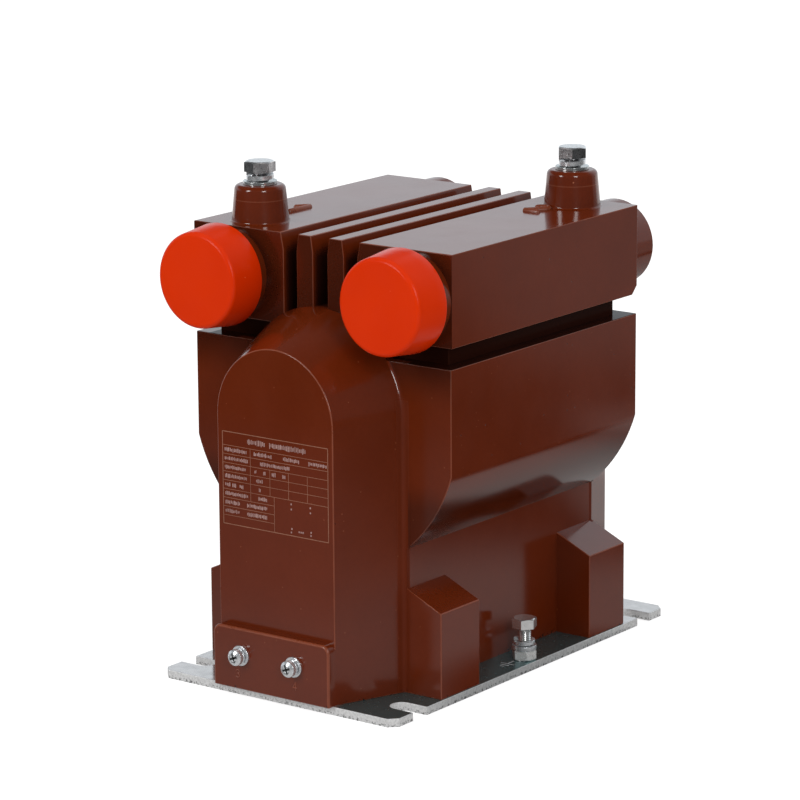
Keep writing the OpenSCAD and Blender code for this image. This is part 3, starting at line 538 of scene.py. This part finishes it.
def blotches(tree, place, dark, light):
    return blend_colors(tree, ramp(tree, noise(tree, place, 140, 5, 0.6), 0.3, 0.7), dark, light)


def uneven_gloss(tree, place, smooth, dull):
    return ramp(tree, noise(tree, place, 260, 5, 0.6), 0.25, 0.8, smooth, dull)


def scratches(tree, place, scale, strength):
    """Fine scratches across the Y axis."""
    stretched = add(tree, "ShaderNodeMapping", {"vector_type": "POINT"}, Vector=place, Scale=(1, 9, 1))
    return bump(tree, noise(tree, stretched.outputs["Vector"], scale, 3), 0.03 * MM, strength)


def metal_material(name, dark, light, rough, metallic=1.0):
    """Plated or bare metal with fine scratches, blotches and uneven gloss."""
    mat, tree, place = start_material(name)
    finish_material(tree, Base_Color=blotches(tree, place, dark, light),
                    Roughness=uneven_gloss(tree, place, 0.75 * rough, 1.35 * rough), Metallic=metallic,
                    Normal=scratches(tree, place, 500, 0.4))
    return mat


def grained_metal_material():
    """Forged and plated bolt heads: a coarse sparkling grain, with a painted highlight on top."""
    mat, tree, place = start_material("forged_zinc")
    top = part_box("terminal_bolt_a")[1][2]
    painted_crown = ramp(tree, axes_of(tree, place)["Z"], top - CROWN_HIGHLIGHT[0], top - CROWN_HIGHLIGHT[1])
    grain = noise(tree, place, 1100, 3, 0.75)
    blotch = noise(tree, place, 200, 4, 0.6)
    color = blend_colors(tree, ramp(tree, blotch, 0.3, 0.7), (0.40, 0.40, 0.41, 1), (0.66, 0.66, 0.67, 1))
    color = blend_colors(tree, ramp(tree, grain, 0.48, 0.64, 0.0, 0.85), color, (0.07, 0.07, 0.072, 1))
    # Painted highlight: the top of the head turns near-white.
    color = blend_colors(tree, painted_crown, color, (0.94, 0.93, 0.93, 1))
    rough = ramp(tree, grain, 0.3, 0.7, 0.24, 0.42)
    finish_material(tree, Base_Color=color, Roughness=rough, Metallic=1.0,
                    Normal=bump(tree, grain, 0.08 * MM, 0.7))
    return mat


def plate_material():
    """Zinc-plated steel, rubbed dull and dark along its right side."""
    mat, tree, place = start_material("plate_zinc")
    axes = axes_of(tree, place)
    color = blotches(tree, place, (0.58, 0.55, 0.54, 1), (0.67, 0.635, 0.625, 1))
    spots = ramp(tree, noise(tree, place, 75, 6, 0.7), 0.60, 0.74, 0.0, 0.25)
    color = blend_colors(tree, spots, color, (0.33, 0.33, 0.33, 1))
    rubbed = product(tree, ramp(tree, axes["X"], *RUBBED_X), ramp(tree, axes["Y"], *RUBBED_Y))
    color = blend_colors(tree, rubbed, color, (0.15, 0.27, 0.28, 1))
    gloss = maths(tree, "ADD", uneven_gloss(tree, place, 0.10, 0.19), product(tree, rubbed, 0.1))
    finish_material(tree, Base_Color=color, Roughness=gloss, Metallic=0.86,
                    Normal=scratches(tree, place, 300, 0.07))
    return mat


def sheared_edge_material():
    """The plate's cut edges: smooth and light above, torn and pitted below."""
    mat, tree, place = start_material("sheared_edge")
    ragged = product(tree, noise(tree, place, 260, 4, 0.7), TORN_RAGGED)
    torn = ramp(tree, maths(tree, "ADD", axes_of(tree, place)["Z"], ragged), *TORN_Z)
    tear = noise(tree, place, 620, 5, 0.75)
    smooth_color = blend_colors(tree, ramp(tree, tear, 0.35, 0.65), (0.74, 0.74, 0.74, 1),
                                (0.95, 0.95, 0.95, 1))
    torn_color = blend_colors(tree, ramp(tree, tear, 0.38, 0.52), (0.13, 0.13, 0.13, 1),
                              (0.88, 0.88, 0.88, 1))
    color = blend_colors(tree, torn, smooth_color, torn_color)
    relief = bump(tree, tear, 0.25 * MM, 0.5)
    rough = ramp(tree, tear, 0.3, 0.7, 0.60, 0.42)
    finish_material(tree, Base_Color=color, Roughness=rough, Metallic=0.75, Normal=relief)
    return mat


def ceramic_material():
    """Glazed porcelain."""
    mat, tree, place = start_material("porcelain")
    cloud = noise(tree, place, 60, 3)
    color = blend_colors(tree, cloud, (0.80, 0.78, 0.72, 1), (0.88, 0.87, 0.83, 1))
    fine = bump(tree, noise(tree, place, 300, 2), 0.04 * MM, 0.3)
    finish_material(tree, Base_Color=color, Roughness=0.18, Normal=fine)
    return mat


def rubber_material():
    """Matt black rubber."""
    mat, tree, place = start_material("rubber")
    grain = noise(tree, place, 900, 3)
    color = blend_colors(tree, grain, (0.012, 0.012, 0.012, 1), (0.030, 0.029, 0.028, 1))
    finish_material(tree, Base_Color=color, Roughness=0.7, Normal=bump(tree, grain, 0.05 * MM, 0.5))
    return mat


def ridged_material(name, dark, light, pitch, axis, rough):
    """Metal with fine parallel lines: a winding's turns or a core's strip edges."""
    mat, tree, place = start_material(name)
    wave = maths(tree, "SINE", product(tree, axes_of(tree, place)[axis], 2 * math.pi / pitch))
    color = blend_colors(tree, ramp(tree, wave, -1.0, 1.0), dark, light)
    lines = bump(tree, wave, 0.15 * MM, 0.6)
    finish_material(tree, Base_Color=color, Roughness=rough, Metallic=1.0, Normal=lines)
    return mat


def marking_material(name, dark, light, rough):
    """A shallow burnt or stamped line, uneven in depth and tone."""
    mat, tree, place = start_material(name)
    grain = noise(tree, place, 900, 4, 0.7)
    fade = noise(tree, place, 60, 3)
    color = blend_colors(tree, ramp(tree, grain, 0.3, 0.7), dark, light)
    color = blend_colors(tree, ramp(tree, fade, 0.45, 0.75, 0.0, 0.45), color, darker(dark, 0.6))
    finish_material(tree, Base_Color=color, Roughness=rough, Normal=bump(tree, grain, 0.04 * MM, 0.5))
    return mat


def make_materials():
    steel = (0.50, 0.52, 0.54, 1)
    bright = (0.84, 0.85, 0.84, 1), (0.96, 0.96, 0.95, 1)
    return {
        "resin": resin_material("resin", (0.093, 0.0122, 0.0020, 1), (0.104, 0.0142, 0.0026, 1)),
        # A lighter copy of the resin for the rounded edges and the raised numbers: a painted highlight.
        "resin_painted_highlight": resin_material("resin_painted_highlight", (0.145, 0.028, 0.009, 1), (0.19, 0.042, 0.016, 1),
                                     0.26, 0.34),
        "cap_plastic": cap_material(),
        "zinc": metal_material("zinc", (0.80, 0.83, 0.86, 1), (0.90, 0.92, 0.94, 1), 0.26, 0.82),
        "forged_zinc": grained_metal_material(),
        "bright_zinc": metal_material("bright_zinc", *bright, 0.20, 0.92),
        "nut_zinc": metal_material("nut_zinc", *bright, 0.28, 0.6),
        "washer_zinc": metal_material("washer_zinc", (0.40, 0.42, 0.42, 1), (0.68, 0.70, 0.70, 1),
                                      0.24, 0.86),
        "plate_zinc": plate_material(),
        "sheared_edge": sheared_edge_material(),
        "brass": metal_material("brass", (0.62, 0.42, 0.14, 1), (0.76, 0.56, 0.22, 1), 0.28),
        "spring_steel": metal_material("spring_steel", (0.20, 0.21, 0.22, 1), steel, 0.32),
        "porcelain": ceramic_material(),
        "rubber": rubber_material(),
        "core_steel": ridged_material("core_steel", (0.16, 0.17, 0.18, 1), steel, 1.2 * MM, "X", 0.45),
        "copper": ridged_material("copper", (0.42, 0.14, 0.05, 1), (0.72, 0.32, 0.16, 1), 1.0 * MM, "Y",
                                  0.3),
        "burnt_line": marking_material("burnt_line", (0.19, 0.072, 0.038, 1), (0.28, 0.125, 0.072, 1),
                                       0.55),
        "burnt_text": marking_material("burnt_text", (0.25, 0.14, 0.12, 1), (0.40, 0.27, 0.25, 1), 0.55),
        # A near-black laid in the screws' recesses: painted shade.
        "painted_recess_shade": marking_material("painted_recess_shade", (0.006, 0.006, 0.006, 1), (0.02, 0.02, 0.02, 1), 0.8),
        "scribed": marking_material("scribed", (0.30, 0.31, 0.32, 1), (0.60, 0.61, 0.62, 1), 0.4),
    }


# Mesh tools

def new_object(name, bm):
    mesh = bpy.data.meshes.new(name)
    bm.normal_update()
    bm.to_mesh(mesh)
    bm.free()
    if "custom_normal" in mesh.attributes:
        mesh.attributes.remove(mesh.attributes["custom_normal"])
    for face in mesh.polygons:
        face.use_smooth = True
    obj = bpy.data.objects.new(name, mesh)
    bpy.context.collection.objects.link(obj)
    return obj


def apply_modifiers(obj):
    """The object's mesh becomes what its modifiers make of it."""
    graph = bpy.context.evaluated_depsgraph_get()
    mesh = bpy.data.meshes.new_from_object(obj.evaluated_get(graph))
    old = obj.data
    obj.modifiers.clear()
    obj.data = mesh
    bpy.data.meshes.remove(old)


def mesh_of_node(node):
    """A CAD node's mesh as a bmesh with its flat faces joined up again."""
    bm = bmesh.new()
    bm.from_mesh(frame["nodes"][node].data)
    bmesh.ops.remove_doubles(bm, verts=bm.verts, dist=SAME_POINT)
    bmesh.ops.dissolve_limit(bm, angle_limit=SAME_PLANE, verts=bm.verts, edges=bm.edges, delimit=set())
    return bm


def middle_of(edge):
    return (edge.verts[0].co + edge.verts[1].co) / 2


def skin(bm, rings):
    """Adds to bm the sides between rings of points and a flat face at each end."""
    count = len(rings[0])
    for a, b in zip(rings, rings[1:]):
        for k in range(count):
            bm.faces.new((a[k], a[(k + 1) % count], b[(k + 1) % count], b[k]))
    bm.faces.new(list(reversed(rings[0])))
    bm.faces.new(rings[-1])


def room_beside(loop):
    """How far the loop's face reaches inward from its edge before another sharp edge."""
    start = loop.vert.co
    way = loop.link_loop_next.vert.co - start
    inward = loop.face.normal.cross(way).normalized()
    along = way.normalized()
    room = 1.0
    for other in loop.face.edges:
        if other is loop.edge or other.calc_face_angle(0) < FLAT_ANGLE:
            continue
        for share in ROOM_PROBES:
            spot = start + way * share
            ends = (v.co - spot for v in other.verts)
            (x0, y0), (x1, y1) = ((end.dot(along), end.dot(inward)) for end in ends)
            if x0 * x1 < 0:
                depth = y0 - x0 * (y1 - y0) / (x1 - x0)
                if depth > TINY:
                    room = min(room, depth)
    return room


def weigh_edges(bm, width, left_sharp=None):
    """Gives each sharp convex edge a bevel weight by the room beside it.
    left_sharp(edge) is true for a convex edge that stays sharp."""
    weights = bm.edges.layers.float.new("bevel_weight_edge")
    bm.normal_update()
    for edge in bm.edges:
        if len(edge.link_faces) != 2 or edge.calc_face_angle(0) < SHARP_ANGLE or not edge.is_convex:
            continue
        weight = min(1.0, ROOM_TAKEN * min(room_beside(loop) for loop in edge.link_loops) / width)
        if weight > LEAST_ROUNDING and not (left_sharp and left_sharp(edge)):
            edge[weights] = weight


def round_edges(obj, width, material=-1):
    """Rounds the weighted edges and evens out the shading."""
    bevel = obj.modifiers.new("edges", "BEVEL")
    bevel.width = width
    bevel.segments = EDGE_SEGMENTS
    bevel.limit_method = "WEIGHT"
    bevel.use_clamp_overlap = False
    bevel.material = material
    bevel.miter_outer = "MITER_ARC"
    apply_modifiers(obj)
    obj.data.set_sharp_from_angle(angle=CREASE_ANGLE)
    weigh = obj.modifiers.new("normals", "WEIGHTED_NORMAL")
    weigh.weight = NORMAL_WEIGHT
    weigh.keep_sharp = True
    apply_modifiers(obj)


def dress(piece, slot, material, *nodes):
    """The piece gets its material and stands for the CAD nodes."""
    if not piece.data.materials:
        piece.data.materials.append(material)
    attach(piece, "root")
    if nodes:
        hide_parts(*nodes)


def finish_piece(name, bm, slot, material, *nodes, sharp=SHARP_ANGLE):
    """The mesh becomes a piece, with its faces turned outward and sharp shading above an angle."""
    bmesh.ops.recalc_face_normals(bm, faces=bm.faces)
    piece = new_object(name, bm)
    piece.data.set_sharp_from_angle(angle=sharp)
    dress(piece, slot, material, *nodes)


def polish(material, width, *nodes):
    """Copies of zinc-plated nodes with rounded edges, as one piece each."""
    for node in nodes:
        bm = mesh_of_node(node)
        weigh_edges(bm, width)
        piece = new_object("rounded_" + node, bm)
        round_edges(piece, width)
        dress(piece, "zinc", material, node)


# Cast body and base plate

def make_body(mats):
    """The casting, with a wide rounding round its terminal pad and a fine one elsewhere."""
    bores = [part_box(node) for node in frame["nodes"] if "insert" in node]
    bm = mesh_of_node("resin_body")
    bm.normal_update()
    faces = [f for f in bm.faces if f.normal.y < FORWARD]
    front = min(f.calc_center_median().y for f in faces)
    pad = {f for f in faces if f.calc_center_median().y < front + LEVEL}
    rim = []
    for edge in bm.edges:
        middle = middle_of(edge)
        if len(pad.intersection(edge.link_faces)) == 1 and middle.z > PAD_FOOT \
                and (abs(middle.x) > PAD_RIM[0] or middle.z > PAD_RIM[1]):
            rim.append(edge)
    bmesh.ops.bevel(bm, geom=rim, offset=PAD_EDGE, offset_type="OFFSET", segments=PAD_EDGE_SEGMENTS,
                    profile=0.5, affect="EDGES", clamp_overlap=False, material=1)

    def left_sharp(edge):
        middle = middle_of(edge)
        if middle.y < front + 2 * PAD_EDGE and middle.z > PAD_FOOT:
            return True
        return any(all(low[k] - INSERT_MARGIN < middle[k] < high[k] + INSERT_MARGIN for k in range(3))
                   for low, high in bores)

    weigh_edges(bm, CAST_EDGE, left_sharp)
    body = new_object("cast_body", bm)
    body.data.materials.append(mats["resin"])
    body.data.materials.append(mats["resin_painted_highlight"])
    # The roundings take the lighter resin, a painted highlight along the edges.
    round_edges(body, CAST_EDGE, 1)
    dress(body, "resin", mats["resin"], "resin_body")


def make_plate(mats):
    """The base plate, with its cut edges in a look of their own."""
    bm = mesh_of_node("base_plate")
    bm.normal_update()
    for face in bm.faces:
        face.material_index = 1 if abs(face.normal.z) < UPRIGHT else 0
    weigh_edges(bm, PLATE_EDGE)
    plate = new_object("steel_plate", bm)
    plate.data.materials.append(mats["plate_zinc"])
    plate.data.materials.append(mats["sheared_edge"])
    round_edges(plate, PLATE_EDGE, 1)
    dress(plate, "plate_zinc", mats["plate_zinc"], "base_plate")


# Turned and threaded pieces

def arc(center, radius, start, end, steps):
    """Points on an arc in the plane of radius and axis, from start to end in degrees."""
    return [(center[0] + radius * math.cos(math.radians(start + (end - start) * i / steps)),
             center[1] + radius * math.sin(math.radians(start + (end - start) * i / steps)))
            for i in range(steps + 1)]


def turned(profile, origin):
    """A solid turned about an axis along -Y from origin, as a bmesh. The profile runs through
    (radius, distance) points, from the axis on one side to the axis on the other."""
    bm = bmesh.new()
    rings = []
    for radius, along in profile:
        if radius < TINY:
            rings.append([bm.verts.new((origin[0], origin[1] - along, origin[2]))])
            continue
        rings.append([bm.verts.new((origin[0] + radius * math.cos(2 * math.pi * i / TURN_STEPS),
                                    origin[1] - along,
                                    origin[2] + radius * math.sin(2 * math.pi * i / TURN_STEPS)))
                      for i in range(TURN_STEPS)])
    for a, b in zip(rings, rings[1:]):
        for i in range(TURN_STEPS):
            j = (i + 1) % TURN_STEPS
            corners = [a[i % len(a)], a[j % len(a)], b[j % len(b)], b[i % len(b)]]
            bm.faces.new(list(dict.fromkeys(corners)))
    return bm


def make_caps(mats):
    """The fuse caps as open, slightly tapered cups with a rounded front edge."""
    lean = math.atan((CAP_RIM_R - CAP_FRONT_R) / CAP_LENGTH)
    slope = math.degrees(lean)
    edge_along = CAP_LENGTH - CAP_EDGE_R
    edge_r = CAP_RIM_R - edge_along * math.tan(lean) - CAP_EDGE_R / math.cos(lean)
    rim_r = CAP_RIM_R - RIM_EDGE_R
    profile = [(0, CAP_LENGTH), (0.5 * edge_r, CAP_LENGTH)]
    profile += arc((edge_r, edge_along), CAP_EDGE_R, 90, slope, 8)
    profile += [(CAP_RIM_R - CAP_FLANK * math.tan(lean), CAP_FLANK)]
    profile += arc((rim_r, RIM_EDGE_R), RIM_EDGE_R, 0, -90, 4)
    profile += [(CAP_BORE_R, 0), (CAP_BORE_R, CAP_LENGTH - CAP_WALL), (0, CAP_LENGTH - CAP_WALL)]
    for node in ("fuse_cap_left", "fuse_cap_right"):
        low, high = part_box(node)
        origin = ((low[0] + high[0]) / 2, high[1], (low[2] + high[2]) / 2)
        finish_piece("screw_" + node, turned(profile, origin), "cap_plastic", mats["cap_plastic"], node)


def threaded_rod(bm, place, low, high, thread):
    """Adds to bm a closed rod along Z with a V thread wound round it."""
    radius, pitch, depth = thread
    count = int(ROD_RINGS * (high - low) / pitch)
    rings = []
    for i in range(count + 1):
        z = low + (high - low) * i / count
        ring = []
        for k in range(ROD_STEPS):
            phase = (z / pitch - k / ROD_STEPS) % 1.0
            r = radius - depth * abs(2 * phase - 1)
            angle = 2 * math.pi * k / ROD_STEPS
            ring.append(bm.verts.new((place[0] + r * math.cos(angle), place[1] + r * math.sin(angle), z)))
        rings.append(ring)
    skin(bm, rings)


def make_bolts(mats):
    """Bolts with the CAD's own heads and real threads."""
    for node, thread, look in (("terminal_bolt_a", TERMINAL_THREAD, "forged_zinc"),
                               ("terminal_bolt_b", TERMINAL_THREAD, "forged_zinc"),
                               ("earth_bolt", EARTH_THREAD, "bright_zinc")):
        low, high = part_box(node)
        middle = ((low[0] + high[0]) / 2, (low[1] + high[1]) / 2)
        bm = mesh_of_node(node)
        reach = thread[0] + SHANK_PLAY
        inside = {v for v in bm.verts if math.hypot(v.co.x - middle[0], v.co.y - middle[1]) < reach}
        seat = max(v.co.z for v in inside)
        shank = [f for f in bm.faces if all(v in inside for v in f.verts)]
        bmesh.ops.delete(bm, geom=shank, context="FACES")
        bmesh.ops.delete(bm, geom=[v for v in bm.verts if not v.link_faces], context="VERTS")
        rim = [e for e in bm.edges if len(e.link_faces) == 1]
        bmesh.ops.holes_fill(bm, edges=rim, sides=0)
        threaded_rod(bm, middle, low[2], seat + SHANK_LAP, thread)
        piece = new_object("threaded_" + node, bm)
        piece.data.set_sharp_from_angle(angle=THREAD_ANGLE)
        dress(piece, "zinc", mats[look], node)


def make_spring_washers(mats):
    """Split rings that climb once round their bolts."""
    for node, bore, along in (("terminal_spring_washer_a", TERMINAL_THREAD[0], 2),
                              ("terminal_spring_washer_b", TERMINAL_THREAD[0], 2),
                              ("earth_spring_washer", EARTH_THREAD[0], 2),
                              ("secondary_spring_washer_a", SCREW_R, 1),
                              ("secondary_spring_washer_b", SCREW_R, 1)):
        low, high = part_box(node)
        up = 3 - along
        middle = [(a + b) / 2 for a, b in zip(low, high)]
        outer = (high[0] - low[0]) / 2
        inner = bore + RING_PLAY
        length = high[along] - low[along]
        thick = RING_SHARE * length
        cut = RING_CUT
        section = [(inner, cut), (inner + cut, 0), (outer - cut, 0), (outer, cut), (outer, thick - cut),
                   (outer - cut, thick), (inner + cut, thick), (inner, thick - cut)]
        bm = bmesh.new()
        rings = []
        for i in range(TURN_STEPS + 1):
            angle = math.radians(RING_OPENS_AT + RING_GAP / 2 + (360 - RING_GAP) * i / TURN_STEPS)
            climb = (length - thick) * i / TURN_STEPS
            ring = []
            for r, w in section:
                spot = [middle[0] + r * math.cos(angle), 0.0, 0.0]
                spot[up] = middle[up] + r * math.sin(angle)
                spot[along] = low[along] + climb + w
                ring.append(bm.verts.new(spot))
            rings.append(ring)
        skin(bm, rings)
        finish_piece("split_" + node, bm, "zinc", mats["zinc"], node)


# Raised numbers and marked lines

def ridge(bm, points, half_width, height, frame_of):
    """Adds to bm a rounded ridge along points on a plane. frame_of(u, v, w) gives the
    place of a point with its height w above that plane."""
    line = [Vector(p) for p in points]
    end_turns = [math.pi / 2 * k / END_STEPS for k in range(END_STEPS)]
    stations = []
    for i, spot in enumerate(line):
        before = (spot - line[i - 1]).normalized() if i else None
        after = (line[i + 1] - spot).normalized() if i + 1 < len(line) else None
        if before is None or after is None:
            way = before or after
        else:
            way = (before + after).normalized()
        if before is None:
            stations += [(spot - way * half_width * math.cos(turn), way, max(math.sin(turn), END_LEAST))
                         for turn in end_turns]
        stations.append((spot, way, 1.0))
        if after is None:
            stations += [(spot + way * half_width * math.cos(turn), way, max(math.sin(turn), END_LEAST))
                         for turn in reversed(end_turns)]
    rings = []
    for spot, way, scale in stations:
        side = Vector((way.y, -way.x)) * half_width * scale
        turns = [math.pi * k / SECTION_STEPS for k in range(SECTION_STEPS + 1)]
        section = [(math.cos(turn), height * scale * math.sin(turn)) for turn in turns]
        section += [(-1, -NUMBER_SINK), (1, -NUMBER_SINK)]
        ring = []
        for across, rise in section:
            flat = spot + side * across
            ring.append(bm.verts.new(frame_of(flat.x, flat.y, rise)))
        rings.append(ring)
    skin(bm, rings)


def digit_lines(digit):
    """The strokes of a digit in a box 0.6 wide and 1 high, about its middle."""
    if digit == 1:
        return [[(-0.24, 0.16), (0.04, 0.5)], [(0.04, 0.5), (0.04, -0.5)]]
    if digit == 2:
        bowl = arc((0.0, 0.22), 0.28, 165, -25, 10)
        return [bowl, [bowl[-1], (-0.3, -0.5)], [(-0.3, -0.5), (0.3, -0.5)]]
    if digit == 3:
        return [arc((0.0, 0.25), 0.25, 150, -90, 10), arc((0.0, -0.23), 0.27, 90, -150, 10)]
    return [[(0.12, -0.5), (0.12, 0.5)], [(0.12, 0.5), (-0.28, -0.18)], [(-0.28, -0.18), (0.3, -0.18)]]


def raised_digit(digit, size, stroke, frame_of, material):
    bm = bmesh.new()
    for line in digit_lines(digit):
        ridge(bm, [(size * u, size * v) for u, v in line], *stroke, frame_of)
    finish_piece("number_%d" % digit, bm, "resin", material, sharp=NUMBER_ANGLE)


def make_numbers(mats):
    """Plain numbers: 1 and 2 on the fuse boxes' tops, 3 and 4 under the secondary screws."""
    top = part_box("terminal_washer_a")[0][2] - POST_RISE
    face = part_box("secondary_washer_a")[1][1]
    # The numbers take the lighter resin, a painted highlight.
    for digit, x, y, size in TOP_NUMBERS:
        def on_top(u, v, w, x=x * MM, y=y * MM):
            return (x + u, y + v, top + w)
        raised_digit(digit, size * MM, TOP_STROKE, on_top, mats["resin_painted_highlight"])
    for digit, x, z, size in PAD_NUMBERS:
        def on_pad(u, v, w, x=x * MM, z=z * MM):
            return (x + u, face - w, z + v)
        raised_digit(digit, size * MM, PAD_STROKE, on_pad, mats["resin_painted_highlight"])


def bar(bm, frame_of, u0, v0, u1, v1, proud=MARK_PROUD):
    """Adds to bm a flat bar from one corner to the other, as far above its plane as below."""
    corners = [(u0, v0), (u1, v0), (u1, v1), (u0, v1)]
    low = [bm.verts.new(frame_of(u, v, -proud)) for u, v in corners]
    high = [bm.verts.new(frame_of(u, v, proud)) for u, v in corners]
    bm.faces.new(low)
    bm.faces.new(high)
    for k in range(4):
        bm.faces.new((low[k], low[(k + 1) % 4], high[(k + 1) % 4], high[k]))


def make_nameplate(mats):
    """A burnt-in table on the front arch, filled with plain bars and dots in place of words."""
    face = -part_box("core")[1][1] - ARCH_COVER
    width = TABLE_RIGHT - TABLE_LEFT
    row = (TABLE_TOP - TABLE_BOTTOM - TABLE_HEADER) / TABLE_ROWS
    half = LINE_WIDTH / 2

    def on_arch(u, v, w):
        return (u, face - w, v)

    def across(share):
        return TABLE_LEFT + share * width

    def level(rows):
        return TABLE_TOP - TABLE_HEADER - rows * row

    lines = bmesh.new()
    for z in (TABLE_TOP, TABLE_BOTTOM):
        bar(lines, on_arch, TABLE_LEFT - half, z - half, TABLE_RIGHT + half, z + half)
    for x in (TABLE_LEFT, TABLE_RIGHT):
        bar(lines, on_arch, x - half, TABLE_BOTTOM, x + half, TABLE_TOP)
    thin = THIN_SHARE * half
    for k in range(TABLE_ROWS):
        end = 1.0 if k < FULL_ROWS else SHORT_ROW
        bar(lines, on_arch, TABLE_LEFT, level(k) - thin, across(end), level(k) + thin)
    for share, first, last in TABLE_COLUMNS:
        bar(lines, on_arch, across(share) - thin, level(last), across(share) + thin, level(first))
    finish_piece("table_lines", lines, "resin", mats["burnt_line"])

    draw = random.Random(SEED)
    ticks = bmesh.new()
    cells = [(TABLE_TOP - TABLE_HEADER / 2, HEADER_RUNS, HEADER_TALL)]
    cells += [(level(k + 0.5), runs, ROW_TALL) for k, runs in enumerate(ROW_RUNS)]
    for middle, runs, tall in cells:
        for start, end in runs:
            x = across(start)
            while x < across(end):
                wide = draw.uniform(*BAR_WIDTHS) * MM
                rise = tall * MM * draw.uniform(*BAR_SHARES) / 2
                shift = draw.uniform(*BAR_SHIFTS) * MM
                bar(ticks, on_arch, x, middle - rise + shift, x + wide, middle + rise + shift)
                x += wide + draw.uniform(*BAR_GAPS) * MM
    for x, z in DOTS:
        bar(ticks, on_arch, (x - DOT[0]) * MM, (z - DOT[1]) * MM, (x + DOT[0]) * MM, (z + DOT[1]) * MM)
    finish_piece("table_ticks", ticks, "resin", mats["burnt_text"])


def make_recesses(mats):
    """Dark bars as painted shade in the cross recesses of the secondary screws."""
    for side in ("a", "b"):
        low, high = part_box("secondary_screw_" + side)
        middle = ((low[0] + high[0]) / 2, low[1] + RECESS_DEPTH, (low[2] + high[2]) / 2)
        bm = bmesh.new()
        for degrees in RECESS_TURNS:
            turn = math.radians(degrees)

            def in_recess(u, v, w, c=math.cos(turn), d=math.sin(turn)):
                return (middle[0] + u * c - v * d, middle[1] - w, middle[2] + u * d + v * c)
            bar(bm, in_recess, -RECESS[0], -RECESS[1], RECESS[0], RECESS[1], RECESS_HALF)
        finish_piece("recess_painted_shade_" + side, bm, "zinc", mats["painted_recess_shade"])


def make_earth_mark(mats):
    """The plain earth symbol scribed on the plate beside the earth bolt."""
    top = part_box("base_plate")[1][2]

    def on_plate(u, v, w):
        return (EARTH_X + u, v, top + w)

    bm = bmesh.new()
    for y, reach in EARTH_BARS:
        bar(bm, on_plate, -reach * MM, y * MM - EARTH_LINE, reach * MM, y * MM + EARTH_LINE)
    bar(bm, on_plate, -EARTH_LINE, EARTH_STEM[0], EARTH_LINE, EARTH_STEM[1])
    finish_piece("earth_mark", bm, "plate_zinc", mats["scribed"])


def paint_cad_nodes(mats):
    """Each node of the frame gets the material of its slot, for where it stays in sight."""
    for row in frame["record"]["subparts"]:
        obj = frame["nodes"][row["node"]]
        for slot in obj.material_slots:
            slot.material = mats[row["material_slot"]]


def main():
    place_camera()
    light_world()
    lay_floor()
    hang_lamps()
    bpy.context.scene.view_settings.view_transform = "Standard"
    mats = make_materials()
    paint_cad_nodes(mats)
    make_body(mats)
    make_plate(mats)
    make_caps(mats)
    make_bolts(mats)
    polish(mats["nut_zinc"], HARDWARE_EDGE, "earth_nut")
    polish(mats["washer_zinc"], HARDWARE_EDGE, "terminal_washer_a", "terminal_washer_b")
    polish(mats["zinc"], HARDWARE_EDGE, "earth_washers", "secondary_washer_a", "secondary_washer_b")
    polish(mats["zinc"], SMALL_EDGE, "secondary_screw_a", "secondary_screw_b")
    make_spring_washers(mats)
    make_numbers(mats)
    make_nameplate(mats)
    make_recesses(mats)
    make_earth_mark(mats)


main()
